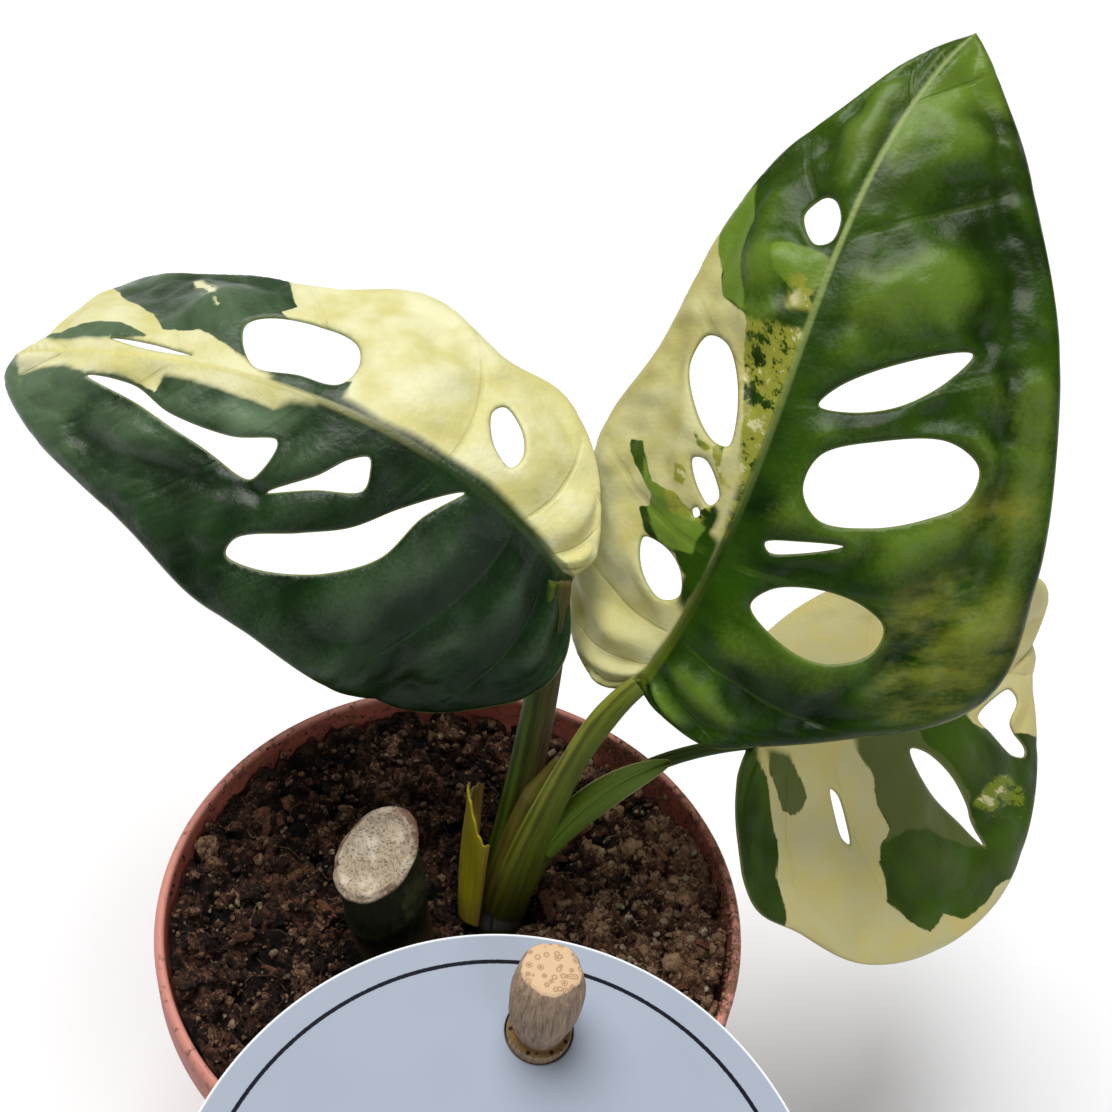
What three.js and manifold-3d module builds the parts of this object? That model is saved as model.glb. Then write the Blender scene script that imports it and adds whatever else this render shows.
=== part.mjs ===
// A young variegated swiss cheese vine in a small nursery pot, with a plain card tag on a wooden stick.
// Millimetres, +Z up. The origin is the middle of the pot's flat base, and the leaves face -Y.
import * as THREE from "three";
import { mergeVertices } from "three/addons/utils/BufferGeometryUtils.js";
import Module from "manifold-3d";

const wasm = await Module();
wasm.setup();

// Driving dimensions.
const POT_HEIGHT = 80;
const RIM_RADIUS = 45;
const BASE_RADIUS = 31;
const POT_WALL = 1.3;
const BAND_HEIGHT = 8.5; // the thicker band round the mouth
const BAND_STEP = 1.6; // how far the band stands out from the wall
const LIP = 0.7; // rounding of the mouth's edge
const DRAIN_RADIUS = 3;
const DRAIN_CIRCLE = 20;
const DRAINS = 6;
const GAP = 0.3; // clearance between pieces that touch
const SOIL_TOP = 72;
const SOIL_CRUMB = 1.3; // height of the soil's lumps
const CANE_RADIUS = 6.5;
const STEM_RADIUS = 5;
const SHEATH_RADIUS = 1.65; // inside of the sheath at its foot
const BLADE = 0.8; // leaf thickness
const RIB = 0.9; // how far the midrib stands out below the blade
const RIB_SPREAD = 0.1; // share of the half blade that the midrib's foot covers
const PUCKER = 0.7; // height of the soft pillows between side veins
const VEIN_PAIRS = 8;
const WAVES = 2.5; // slow waves down each margin
const WAVE_HEIGHT = 0.9;
const HOLE_REACH = 3; // how far a hole's cutter reaches above and below the blade
const CARD_RADIUS = 45;
const CARD_THICKNESS = 1.2;
const CARD_TILT = 10; // degrees, front edge low
const STICK_RADIUS = 4.65;
const SHOULDER_HEIGHT = 86.5; // where the stick's shaft ends in a shoulder, just above the card

const degrees = THREE.MathUtils.degToRad;
const v3 = (x, y, z) => new THREE.Vector3(x, y, z);

// Solids: closed meshes for joining and cutting.

function solid(geometry) {
  const bare = geometry.index ? geometry.toNonIndexed() : geometry.clone();
  for (const name of Object.keys(bare.attributes)) {
    if (name !== "position") bare.deleteAttribute(name);
  }
  const merged = mergeVertices(bare, 1e-4);
  const mesh = new wasm.Mesh({
    numProp: 3,
    vertProperties: merged.attributes.position.array,
    triVerts: new Uint32Array(merged.index.array),
  });
  return new wasm.Manifold(mesh);
}

function geometryOf(body) {
  const mesh = body.getMesh();
  const geometry = new THREE.BufferGeometry();
  geometry.setAttribute("position", new THREE.BufferAttribute(mesh.vertProperties, 3));
  geometry.setIndex(new THREE.BufferAttribute(mesh.triVerts, 1));
  geometry.computeVertexNormals();
  return geometry;
}

// A closed solid from rows of points: the front face, the back face and the edge band between them.
function sheet(front, back) {
  const rows = front.length;
  const columns = front[0].length;
  const points = [...front.flat(), ...back.flat()];
  const far = rows * columns;
  const at = (r, c) => r * columns + c;
  const index = [];
  const quad = (a, b, c, d) => index.push(a, b, c, a, c, d);
  for (let r = 0; r < rows - 1; r++) {
    for (let c = 0; c < columns - 1; c++) {
      const corners = [at(r, c), at(r, c + 1), at(r + 1, c + 1), at(r + 1, c)];
      quad(...corners);
      const [p, q, s, t] = corners.map((corner) => corner + far);
      index.push(p, s, q, p, t, s);
    }
  }
  for (let c = 0; c < columns - 1; c++) {
    quad(at(0, c + 1), at(0, c), at(0, c) + far, at(0, c + 1) + far);
    quad(at(rows - 1, c), at(rows - 1, c + 1), at(rows - 1, c + 1) + far, at(rows - 1, c) + far);
  }
  for (let r = 0; r < rows - 1; r++) {
    quad(at(r, 0), at(r + 1, 0), at(r + 1, 0) + far, at(r, 0) + far);
    const right = at(r, columns - 1);
    quad(right + columns, right, right + far, right + columns + far);
  }
  const geometry = new THREE.BufferGeometry().setFromPoints(points);
  geometry.setIndex(index);
  return geometry;
}

// A round bar along a curve whose radius follows a list of radii from its foot to its end.
function bar(curve, radii, steps, sides) {
  const frames = curve.computeFrenetFrames(steps, false);
  const along = new THREE.CatmullRomCurve3(radii.map((r) => v3(r, 0, 0)));
  const points = [];
  for (let i = 0; i <= steps; i++) {
    const centre = curve.getPointAt(i / steps);
    const radius = along.getPoint(i / steps).x;
    for (let k = 0; k < sides; k++) {
      const turn = (2 * Math.PI * k) / sides;
      const out = frames.normals[i].clone().multiplyScalar(Math.cos(turn) * radius);
      out.addScaledVector(frames.binormals[i], Math.sin(turn) * radius);
      points.push(centre.clone().add(out));
    }
  }
  const index = [];
  for (let i = 0; i < steps; i++) {
    for (let k = 0; k < sides; k++) {
      const a = i * sides + k;
      const b = i * sides + ((k + 1) % sides);
      index.push(a, b, b + sides, a, b + sides, a + sides);
    }
  }
  const last = steps * sides;
  for (let k = 1; k < sides - 1; k++) {
    index.push(0, k + 1, k);
    index.push(last, last + k, last + k + 1);
  }
  const geometry = new THREE.BufferGeometry().setFromPoints(points);
  geometry.setIndex(index);
  return geometry;
}

// A turned solid about +Z from (radius, height) pairs that start and end on the axis, bottom first.
function turned(profile, sides) {
  const points = profile.map(([radius, height]) => new THREE.Vector2(radius, height));
  return new THREE.LatheGeometry(points, sides).rotateX(Math.PI / 2);
}

function mesh(name, geometry, colour, roughness) {
  const material = new THREE.MeshStandardMaterial({ color: colour, roughness, metalness: 0 });
  const made = new THREE.Mesh(geometry, material);
  made.name = name;
  return made;
}

// Pot: tapered wall, thicker band and rounded lip at the mouth, drain holes in the floor.

const bandFoot = POT_HEIGHT - BAND_HEIGHT;
const wallTop = RIM_RADIUS - BAND_STEP; // outside of the wall just below the band
const wallRadius = (height) => BASE_RADIUS + (wallTop - BASE_RADIUS) * (height / bandFoot);
const innerRadius = (height) => wallRadius(Math.min(height, bandFoot)) - POT_WALL;

function potBody() {
  const shell = turned(
    [
      [0, 0],
      [BASE_RADIUS - 1, 0],
      [BASE_RADIUS, 1],
      [wallTop, bandFoot],
      [RIM_RADIUS - 0.4, bandFoot + 0.6],
      [RIM_RADIUS, bandFoot + 1.4],
      [RIM_RADIUS, POT_HEIGHT - LIP],
      [RIM_RADIUS - LIP, POT_HEIGHT],
      [innerRadius(bandFoot) + 0.9, POT_HEIGHT],
      [innerRadius(bandFoot) + 0.2, POT_HEIGHT - LIP],
      [innerRadius(bandFoot), bandFoot],
      [innerRadius(3), 3],
      [innerRadius(3) - 1.2, POT_WALL],
      [0, POT_WALL],
    ],
    60,
  );
  let body = solid(shell);
  for (let k = 0; k < DRAINS; k++) {
    const turn = (2 * Math.PI * k) / DRAINS;
    const hole = new THREE.CylinderGeometry(DRAIN_RADIUS, DRAIN_RADIUS, 4 * POT_WALL, 12);
    hole.rotateX(Math.PI / 2);
    hole.translate(DRAIN_CIRCLE * Math.cos(turn), DRAIN_CIRCLE * Math.sin(turn), 0);
    body = body.subtract(solid(hole));
  }
  return geometryOf(body);
}

// What stands in the soil: each foot is a plain round bar, and its hole is the same bar one gap wider.

const stemFoot = new THREE.LineCurve3(v3(6.2, 3.8, 60), v3(6.5, 4.6, 76));
const caneTop = v3(-12, -0.8, 92.2); // middle of the cut face
const caneAxis = new THREE.LineCurve3(v3(-6, -2.7, 56), v3(-13.4, -0.4, 100.5));
const stickAxis = new THREE.LineCurve3(v3(13.9, -22.9, 40), v3(15.5, -22.6, 102));

// Soil: fills the pot, its top a relief of lumps that fades out beside whatever stands in it.

function soilHeight(x, y) {
  const lumps =
    Math.sin(0.61 * x + 1.7 * Math.sin(0.23 * y)) * Math.cos(0.57 * y - 1.3 * Math.sin(0.31 * x)) +
    0.6 * Math.sin(1.31 * x + 0.9 * y) * Math.sin(1.17 * y - 0.8 * x + 1);
  const feet = [stemFoot.getPointAt(0.8), caneAxis.getPointAt(0.37), stickAxis.getPointAt(0.5)];
  const nearest = Math.min(...feet.map((foot) => Math.hypot(foot.x - x, foot.y - y)));
  const fade = THREE.MathUtils.smoothstep(nearest, 8, 14);
  const bank = 2.2 * THREE.MathUtils.smoothstep(Math.hypot(x, y), 30, 41) * (x < 0 ? 1 : 0.8);
  return SOIL_TOP + SOIL_CRUMB * lumps * fade + bank * THREE.MathUtils.smoothstep(8 - y, 0, 25);
}

function soilBody() {
  const sides = 44;
  const rings = 9;
  const edge = innerRadius(bandFoot) - GAP;
  const foot = POT_WALL + GAP;
  const points = [v3(0, 0, soilHeight(0, 0))];
  const ring = (radius, heightAt) => {
    for (let k = 0; k < sides; k++) {
      const turn = (2 * Math.PI * k) / sides;
      const x = radius * Math.cos(turn);
      const y = radius * Math.sin(turn);
      points.push(v3(x, y, heightAt(x, y)));
    }
  };
  for (let i = 1; i <= rings; i++) {
    ring((edge * i) / rings, soilHeight);
  }
  ring(edge, () => bandFoot - 1);
  ring(innerRadius(4) - GAP - 1, () => foot);
  points.push(v3(0, 0, foot));
  const index = [];
  for (let k = 0; k < sides; k++) {
    const next = (k + 1) % sides;
    index.push(0, 1 + k, 1 + next);
    for (let i = 0; i < rings + 1; i++) {
      const a = 1 + i * sides;
      index.push(a + k, a + sides + k, a + sides + next, a + k, a + sides + next, a + next);
    }
    const last = 1 + (rings + 1) * sides;
    index.push(last + k, points.length - 1, last + next);
  }
  const geometry = new THREE.BufferGeometry().setFromPoints(points);
  geometry.setIndex(index);
  const hole = (axis, radius) => {
    const away = axis.getTangentAt(0).multiplyScalar(-GAP);
    const above = axis.getTangentAt(0).multiplyScalar(6);
    const longer = new THREE.LineCurve3(axis.v1.clone().add(away), axis.v2.clone().add(above));
    return solid(bar(longer, [radius + GAP, radius + GAP], 1, 20));
  };
  return geometryOf(
    solid(geometry)
      .subtract(hole(stemFoot, STEM_RADIUS))
      .subtract(hole(caneAxis, CANE_RADIUS))
      .subtract(hole(stickAxis, STICK_RADIUS)),
  );
}

// Old cane: a cut piece of the parent stem, callused on its slanting cut face.

function caneBody() {
  const narrow = CANE_RADIUS - 0.15;
  const trunk = bar(caneAxis, [narrow, CANE_RADIUS, narrow, CANE_RADIUS, narrow], 10, 18);
  const facing = v3(-0.6, -0.35, 1).normalize();
  const wedgeHeight = 16;
  const wedge = new THREE.BoxGeometry(40, 40, wedgeHeight);
  wedge.applyQuaternion(new THREE.Quaternion().setFromUnitVectors(v3(0, 0, 1), facing));
  const middle = caneTop.clone().addScaledVector(facing, wedgeHeight / 2);
  wedge.translate(middle.x, middle.y, middle.z);
  return geometryOf(solid(trunk).subtract(solid(wedge)));
}

// Shoot: the young stem and the stalks of its three leaves, which grow from it as one body.

// A bezier through space from four (x, y, z) points.
const bow = (...points) => new THREE.CubicBezierCurve3(...points.map((point) => v3(...point)));

const LEFT_STALK = bow([5.5, 3.6, 70], [7.8, 13, 85], [10, 18, 105], [10.3, 24.2, 129.2]);
const RIGHT_STALK = bow([7, 4.2, 70], [12.1, 7.2, 96], [15.6, 9.7, 113.5], [23.4, 14.6, 119.3]);
const LOW_STALK = bow([8, 4.2, 70], [12, 6, 96], [22, 11, 108], [43.2, 22.4, 100.5]);

const STALKS = [
  { curve: LEFT_STALK, radii: [3.4, 3.1, 2.8, 2.6, 2.3, 1.7] },
  { curve: RIGHT_STALK, radii: [3.4, 3.1, 2.4, 1.9, 1.9, 1.6] },
  { curve: LOW_STALK, radii: [2.6, 2.2, 1.6, 1.2, 1.1, 1] },
];
const stalkSolid = ({ curve, radii }, extra) => {
  return solid(bar(curve, radii.map((radius) => radius + extra), 18, 10));
};

function shootBody() {
  let body = solid(bar(stemFoot, [STEM_RADIUS, STEM_RADIUS, STEM_RADIUS - 0.2], 3, 16));
  for (const stalk of STALKS) {
    body = body.add(stalkSolid(stalk, 0));
  }
  return geometryOf(body);
}

// A thin leaf-like wrap round a stalk: it starts as a collar and opens out to a tip.
// share runs from its foot to its tip, and side from one free edge to the other.
function wrap(curve, from, to, radiusAt, spreadAt, facing, rows, columns) {
  const front = [];
  const back = [];
  for (let i = 0; i < rows; i++) {
    const share = i / (rows - 1);
    const centre = curve.getPoint(from + (to - from) * share);
    const ahead = curve.getTangent(from + (to - from) * share);
    const middle = facing.clone().addScaledVector(ahead, -facing.dot(ahead)).normalize();
    const beside = ahead.clone().cross(middle);
    const at = (angle, radius) =>
      centre
        .clone()
        .addScaledVector(middle, Math.cos(angle) * radius)
        .addScaledVector(beside, Math.sin(angle) * radius);
    const inner = [];
    const outer = [];
    for (let k = 0; k < columns; k++) {
      const side = (2 * k) / (columns - 1) - 1;
      const angle = side * degrees(spreadAt(share));
      inner.push(at(angle, radiusAt(share, side)));
      outer.push(at(angle, radiusAt(share, side) + BLADE));
    }
    front.push(outer);
    back.push(inner);
  }
  return sheet(front, back);
}

// Light green wing that shields the low leaf's stalk: it widens from its foot, then narrows to a point.
function sheathBody() {
  const radiusAt = (share, side) => SHEATH_RADIUS + GAP + share * (0.7 + side * side);
  const widening = (share) => Math.min(1, 0.45 + 1.9 * share);
  const spreadAt = (share) => 88 * Math.pow(1 - share, 0.65) * widening(share) + 3;
  return wrap(LOW_STALK, 0.46, 0.745, radiusAt, spreadAt, v3(0.15, -0.66, 0.75), 14, 9);
}

// Papery scale leaf that stands round the foot of the shoot and leans with the left leaf's stalk.
function scaleBody() {
  const axis = new THREE.LineCurve3(v3(6.4, 4.3, 73.6), v3(7, 12.2, 95.5));
  const radiusAt = (share) => STEM_RADIUS + 1.5 * GAP + 0.9 * share;
  const spreadAt = (share) => 50 * Math.pow(1 - share, 0.8) + 14 + 44 * share * (1 - share);
  return wrap(axis, 0, 1, radiusAt, spreadAt, v3(-0.9, -0.42, 0), 11, 9);
}

// Leaves. Each blade is drawn flat and then bent. Flat, along runs down the midrib from the stalk and
// across runs out from it, in mm. A row of the table is one side vein: how far down the midrib it leaves
// (as a share), then for the left and for the right half the angle from the midrib to its end on the
// margin, in degrees, and the straight length to that end. Holes are outlines in (along, across).

const LEAVES = {
  leaf_left: {
    midrib: bow([10.5, 25, 130], [-12.5, 32.5, 154], [-51, 45.5, 147.5], [-78, 54.5, 134]),
    upAtBase: v3(0, -0.45, 0.9),
    upAtTip: v3(0, -0.3, 0.95),
    fold: { left: [-18, -18], right: [-4, -15] }, // degrees at base and tip, minus is down
    bend: { left: -0.6, right: -0.7 }, // degrees of droop for each mm outwards
    sweep: { left: 30, right: 30 }, // how much a side vein curves forward, degrees
    veins: [
      [0, 160, 3, 150, 2],
      [0.005, 146, 14, 135, 4],
      [0.01, 132, 20.5, 122, 6],
      [0.02, 118, 26, 110, 8],
      [0.04, 102, 34, 99, 12],
      [0.07, 88, 36.5, 90, 18],
      [0.12, 74, 38.5, 81, 24],
      [0.19, 60, 41, 73, 24],
      [0.28, 49, 43.5, 65, 31.5],
      [0.4, 40, 40.5, 57, 27.5],
      [0.52, 34, 36.5, 49, 34],
      [0.65, 30, 30, 41, 42.5],
      [0.77, 26, 22, 33, 27],
      [0.88, 22, 13.5, 25, 9.5],
      [0.95, 19, 7, 19, 3.5],
      [1, 15, 0.3, 13, 0.3],
    ],
    holes: {
      left: [
        [
          [82.5, 4], [74.5, 4.5], [65.5, 8], [55, 9], [47.5, 7.5],
          [47, 9], [49.5, 14], [61.5, 11], [72, 7.5],
        ],
        [[46, 15], [39, 10], [35.5, 6], [33, 4.5], [32, 6], [31.5, 9], [38.5, 12]],
        [
          [18.5, 1.6], [25, 8.5], [30.5, 14.5], [38, 18.5], [49, 23],
          [50, 25.5], [43.5, 26], [31.5, 22.5], [23.5, 16], [21.5, 8],
        ],
      ],
      right: [
        [[61, 9.5], [58, 12.5], [51.5, 14], [44, 12], [41.5, 7.5], [42.5, 4], [48.5, 3], [55.5, 2]],
        [[22, 12], [21, 14], [17, 11.5], [15, 8], [15.5, 5.5], [19, 7]],
        [[81.5, 2.8], [74, 2.9], [66, 1.7], [74, 1.5]],
      ],
    },
  },
  leaf_right: {
    midrib: bow([24, 15, 120], [41, 26, 150.5], [37, 56.5, 178], [60, 82, 191.5]),
    upAtBase: v3(-0.1, -0.7, 0.7),
    upAtTip: v3(-0.1, -0.7, 0.7),
    fold: { left: [-26, -22], right: [3, 3] },
    bend: { left: -0.8, right: -0.45 },
    sweep: { left: 28, right: 14 },
    veins: [
      [0, 155, 3, 158, 1.5],
      [0.005, 142, 8, 138, 3.5],
      [0.01, 128, 12, 118, 7],
      [0.02, 112, 18.5, 106, 13.5],
      [0.04, 99, 24, 96, 19],
      [0.07, 88, 26, 89, 28],
      [0.12, 77, 28.5, 82, 43.5],
      [0.2, 68, 32, 75, 44],
      [0.32, 59, 28.5, 67, 41.5],
      [0.45, 52, 27.5, 58, 38.5],
      [0.58, 44, 23.5, 49, 33.5],
      [0.71, 36, 15.5, 40, 26.5],
      [0.83, 28, 10, 30, 16.5],
      [0.93, 21, 5, 21, 7],
      [1, 15, 0.3, 12, 0.3],
    ],
    holes: {
      left: [
        [[71.5, 7], [74.5, 5.5], [74.5, 3.5], [72, 1.5], [68.5, 1.5], [67.5, 3.5]],
        [[51.5, 16], [51, 12], [47, 8.5], [40.5, 5.5], [36.5, 5], [36.5, 7.5], [41, 13], [47, 17]],
        [[33, 9.5], [33.5, 7.5], [31.5, 5], [29, 3.5], [27.5, 4.5], [29.5, 7.5]],
        [[25.8, 7], [26.5, 6.2], [25.6, 5.4], [24.8, 6.2]],
        [[18, 12.5], [18.5, 8], [16.5, 4], [13.5, 2.5], [11.5, 5], [13.5, 9.5]],
      ],
      right: [
        [[46, 5], [49, 6.5], [55, 13.5], [60, 22.5], [55, 20.5], [49.5, 15.5], [46.5, 9.5]],
        [
          [39.5, 7.5], [44, 14.5], [47, 23.5], [45, 28.5], [40.5, 28.5],
          [36.5, 24], [33, 17.5], [31.5, 10.5], [34.5, 7],
        ],
        [[26, 5], [28, 9.5], [29.5, 15], [26.5, 10], [25, 6]],
        [[17.5, 7], [20.5, 8.5], [23, 14], [23.5, 21], [22, 25], [19, 25], [15.5, 20], [15, 14]],
      ],
    },
  },
  leaf_low: {
    midrib: bow([44, 23, 100.5], [65, 32, 95.5], [84.5, 46, 85.5], [97.5, 66.5, 85.5]),
    upAtBase: v3(-0.1, -0.2, 1),
    upAtTip: v3(0.1, -0.2, 1),
    fold: { left: [-58, 66], right: [-25, -25] },
    bend: { left: -0.35, right: -0.4 },
    sweep: { left: 22, right: 25 },
    veins: [
      [0, 165, 3, 165, 1.5],
      [0.005, 148, 5, 148, 3],
      [0.01, 130, 8, 130, 9],
      [0.02, 115, 12, 115, 16.5],
      [0.04, 102, 18, 102, 26],
      [0.08, 90, 24, 90, 30.5],
      [0.13, 79, 29, 79, 37.5],
      [0.2, 69, 32, 69, 40],
      [0.3, 60, 33, 60, 38.5],
      [0.42, 52, 32, 52, 33],
      [0.56, 45, 30, 45, 25.5],
      [0.7, 39, 26, 39, 17],
      [0.83, 33, 19, 33, 8.5],
      [0.93, 26, 11, 26, 4],
      [1, 15, 0.3, 15, 0.3],
    ],
    holes: {
      left: [
        [[17, 6.5], [22, 8.5], [26.5, 13.5], [24, 14], [19, 10.5]],
        [[41, 6], [47, 9], [52, 14.5], [48, 14.5], [42.5, 10]],
      ],
      right: [
        [[12.5, 8.5], [14, 9.5], [15, 14], [15, 17.5], [13.5, 16.5], [12.5, 12]],
        [
          [31, 4.5], [34, 5.5], [38, 10.5], [40, 16.5],
          [40, 18.5], [41, 23.5], [37.5, 18.5], [33, 12],
        ],
        [
          [59.5, 2.5], [60, 5], [56.5, 7.5], [57.5, 13],
          [56.5, 14], [54, 12.5], [51.5, 7.5], [49.5, 3.5],
        ],
      ],
    },
  },
};
const SIDE = { left: 1, right: -1 };

// Height of the blade's relief at a share down the fan of veins and a share out to the margin.
function relief(down, out, half) {
  const pillow = PUCKER * Math.sin(Math.PI * VEIN_PAIRS * down) ** 2 * 4 * out * (1 - out);
  const wave = WAVE_HEIGHT * out * out * Math.sin(2 * Math.PI * WAVES * down + SIDE[half]);
  return (pillow + wave) * Math.min(1, 8 * (1 - down)) * Math.min(1, 8 * down);
}

// Where the flat point (along, across) of one half lands when the blade is bent, raised by lift.
function bent(leaf, half, along, across, lift) {
  const length = leaf.midrib.getLength();
  const share = THREE.MathUtils.clamp(along / length, 0, 1);
  const ahead = leaf.midrib.getTangentAt(share);
  const point = leaf.midrib.getPointAt(share).addScaledVector(ahead, along - share * length);
  const beside = leaf.upAtBase.clone().lerp(leaf.upAtTip, share).cross(ahead).normalize();
  const up = ahead.clone().cross(beside);
  const start = degrees(THREE.MathUtils.lerp(leaf.fold[half][0], leaf.fold[half][1], share));
  const curl = degrees(leaf.bend[half]);
  const slope = start + curl * across;
  const sideways = (Math.sin(slope) - Math.sin(start)) / curl - lift * Math.sin(slope);
  const raised = (Math.cos(start) - Math.cos(slope)) / curl + lift * Math.cos(slope);
  return point.addScaledVector(beside, SIDE[half] * sideways).addScaledVector(up, raised);
}

// The flat point at a share down the fan of veins and a share out along the vein.
function flatPoint(leaf, half, down, out) {
  const vein = leaf.fans[half].getPoint(down);
  const end = degrees(vein.y);
  const angle = end + degrees(leaf.sweep[half]) * Math.sin(end) * (1 - out);
  const reach = vein.z * out;
  return [vein.x * leaf.midrib.getLength() + reach * Math.cos(angle), reach * Math.sin(angle)];
}

function bladePoint(leaf, half, down, out, lift) {
  const [along, across] = flatPoint(leaf, half, down, out);
  return bent(leaf, half, along, across, lift + relief(down, out, half));
}

// A hole's rounded outline, pushed through the blade from above to below.
function holeCutter(leaf, half, outline) {
  const corners = outline.map(([along, across]) => v3(along, across, 0));
  const smooth = new THREE.CatmullRomCurve3(corners, true, "centripetal");
  const rim = smooth.getPoints(outline.length * 2).slice(0, -1);
  const flat = rim.map((p) => new THREE.Vector2(p.x, p.y));
  if (THREE.ShapeUtils.isClockWise(flat)) flat.reverse();
  const depth = HOLE_REACH * SIDE[half]; // the right half is mirrored, so its cutter starts below
  const near = flat.map((p) => bent(leaf, half, p.x, p.y, depth));
  const far = flat.map((p) => bent(leaf, half, p.x, p.y, -depth));
  const count = flat.length;
  const index = [];
  for (const [a, b, c] of THREE.ShapeUtils.triangulateShape(flat, [])) {
    index.push(a, b, c, a + count, c + count, b + count);
  }
  for (let k = 0; k < count; k++) {
    const next = (k + 1) % count;
    index.push(k, k + count, next + count, k, next + count, next);
  }
  const geometry = new THREE.BufferGeometry().setFromPoints([...near, ...far]);
  geometry.setIndex(index);
  return solid(geometry);
}

function leafBody(leaf) {
  const fan = (angle, reach) =>
    new THREE.CatmullRomCurve3(
      leaf.veins.map((vein) => v3(vein[0], vein[angle], vein[reach])),
      false,
      "catmullrom",
      0.5,
    );
  leaf.fans = { left: fan(1, 2), right: fan(3, 4) };
  const rows = 30;
  const outwards = [0.035, 0.1, 0.24, 0.38, 0.54, 0.7, 0.86, 1];
  const columns = [...outwards.toReversed(), 0, ...outwards.map((out) => -out)];
  const top = [];
  const bottom = [];
  for (let i = 0; i < rows; i++) {
    const down = i / (rows - 1);
    const rib = (out) => RIB * Math.max(0, 1 - Math.abs(out) / RIB_SPREAD) * (1 - 0.8 * down);
    const pointAt = (out, lift) => {
      if (out === 0) {
        const middle = bladePoint(leaf, "left", down, 0, lift);
        return middle.lerp(bladePoint(leaf, "right", down, 0, lift), 0.5);
      }
      return bladePoint(leaf, out > 0 ? "left" : "right", down, Math.abs(out), lift);
    };
    top.push(columns.map((out) => pointAt(out, BLADE / 2)));
    bottom.push(columns.map((out) => pointAt(out, -BLADE / 2 - rib(out))));
  }
  let body = solid(sheet(top, bottom));
  for (const stalk of STALKS) {
    body = body.subtract(stalkSolid(stalk, GAP));
  }
  for (const half of ["left", "right"]) {
    for (const outline of leaf.holes[half]) {
      body = body.subtract(holeCutter(leaf, half, outline));
    }
  }
  return geometryOf(body);
}

// Card tag: a round card that lies on the front of the rim, pinned by the stick through its hole.

const cardRest = v3(0, -RIM_RADIUS, POT_HEIGHT + 2 * GAP);
const cardOffset = v3(12.9, -8.2, 0).applyAxisAngle(v3(1, 0, 0), degrees(CARD_TILT));
const cardCentre = cardRest.clone().add(cardOffset);

function stickPoint(height) {
  const share = (height - stickAxis.v1.z) / (stickAxis.v2.z - stickAxis.v1.z);
  return stickAxis.v1.clone().lerp(stickAxis.v2, share);
}

function cardBody() {
  const edge = 0.25;
  const disc = turned(
    [
      [0, 0],
      [CARD_RADIUS - edge, 0],
      [CARD_RADIUS, edge],
      [CARD_RADIUS, CARD_THICKNESS - edge],
      [CARD_RADIUS - edge, CARD_THICKNESS],
      [0, CARD_THICKNESS],
    ],
    72,
  );
  disc.rotateX(degrees(CARD_TILT));
  disc.translate(cardCentre.x, cardCentre.y, cardCentre.z);
  const punchAxis = new THREE.LineCurve3(stickPoint(SHOULDER_HEIGHT - 8), stickPoint(SHOULDER_HEIGHT + 6));
  const punch = bar(punchAxis, [STICK_RADIUS + GAP, STICK_RADIUS + GAP], 1, 24);
  return geometryOf(solid(disc).subtract(solid(punch)));
}

// Wooden stick: a straight shaft through the card, and an acorn-shaped head on its shoulder.
function stickBody() {
  const shoulder = (SHOULDER_HEIGHT - stickAxis.v1.z) / stickAxis.getTangentAt(0).z;
  const length = stickAxis.getLength();
  const stick = turned(
    [
      [0, 0],
      [STICK_RADIUS - 1, 0],
      [STICK_RADIUS, 1],
      [STICK_RADIUS, shoulder - 0.3],
      [STICK_RADIUS - 0.3, shoulder],
      [3.7, shoulder],
      [3.7, shoulder + 0.8],
      [4.5, shoulder + 3],
      [5.1, shoulder + 6.5],
      [5.2, shoulder + 9.5],
      [4.9, shoulder + 12.5],
      [4.1, length],
      [0, length],
    ],
    24,
  );
  const upright = new THREE.Quaternion().setFromUnitVectors(v3(0, 0, 1), stickAxis.getTangentAt(0));
  stick.applyQuaternion(upright);
  stick.translate(stickAxis.v1.x, stickAxis.v1.y, stickAxis.v1.z);
  return stick;
}

const plant = new THREE.Group();
plant.add(
  mesh("pot", potBody(), 0xb4604c, 0.5),
  mesh("soil", soilBody(), 0x35241b, 0.95),
  mesh("cane", caneBody(), 0x3d4a26, 0.7),
  mesh("shoot", shootBody(), 0x4c6b22, 0.45),
  mesh("sheath_low", sheathBody(), 0x8aa04a, 0.5),
  mesh("scale_leaf", scaleBody(), 0xa0953f, 0.7),
);
for (const [name, leaf] of Object.entries(LEAVES)) {
  plant.add(mesh(name, leafBody(leaf), 0x2f5528, 0.35));
}
plant.add(
  mesh("tag_card", cardBody(), 0xe6ecf4, 0.6),
  mesh("tag_stick", stickBody(), 0xb99a6b, 0.75),
);

export default plant;
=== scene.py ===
"""The looks of a young variegated swiss cheese vine in a nursery pot, with a card tag on a wooden stick.

Shapes are worked out in millimetres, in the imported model's frame, and become metres in new_piece.
"""

import math

import bpy
import numpy as np
from bpy.props import FloatProperty, FloatVectorProperty, IntProperty, PointerProperty
from mathutils import Matrix, Vector
from mathutils.geometry import delaunay_2d_cdt


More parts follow.
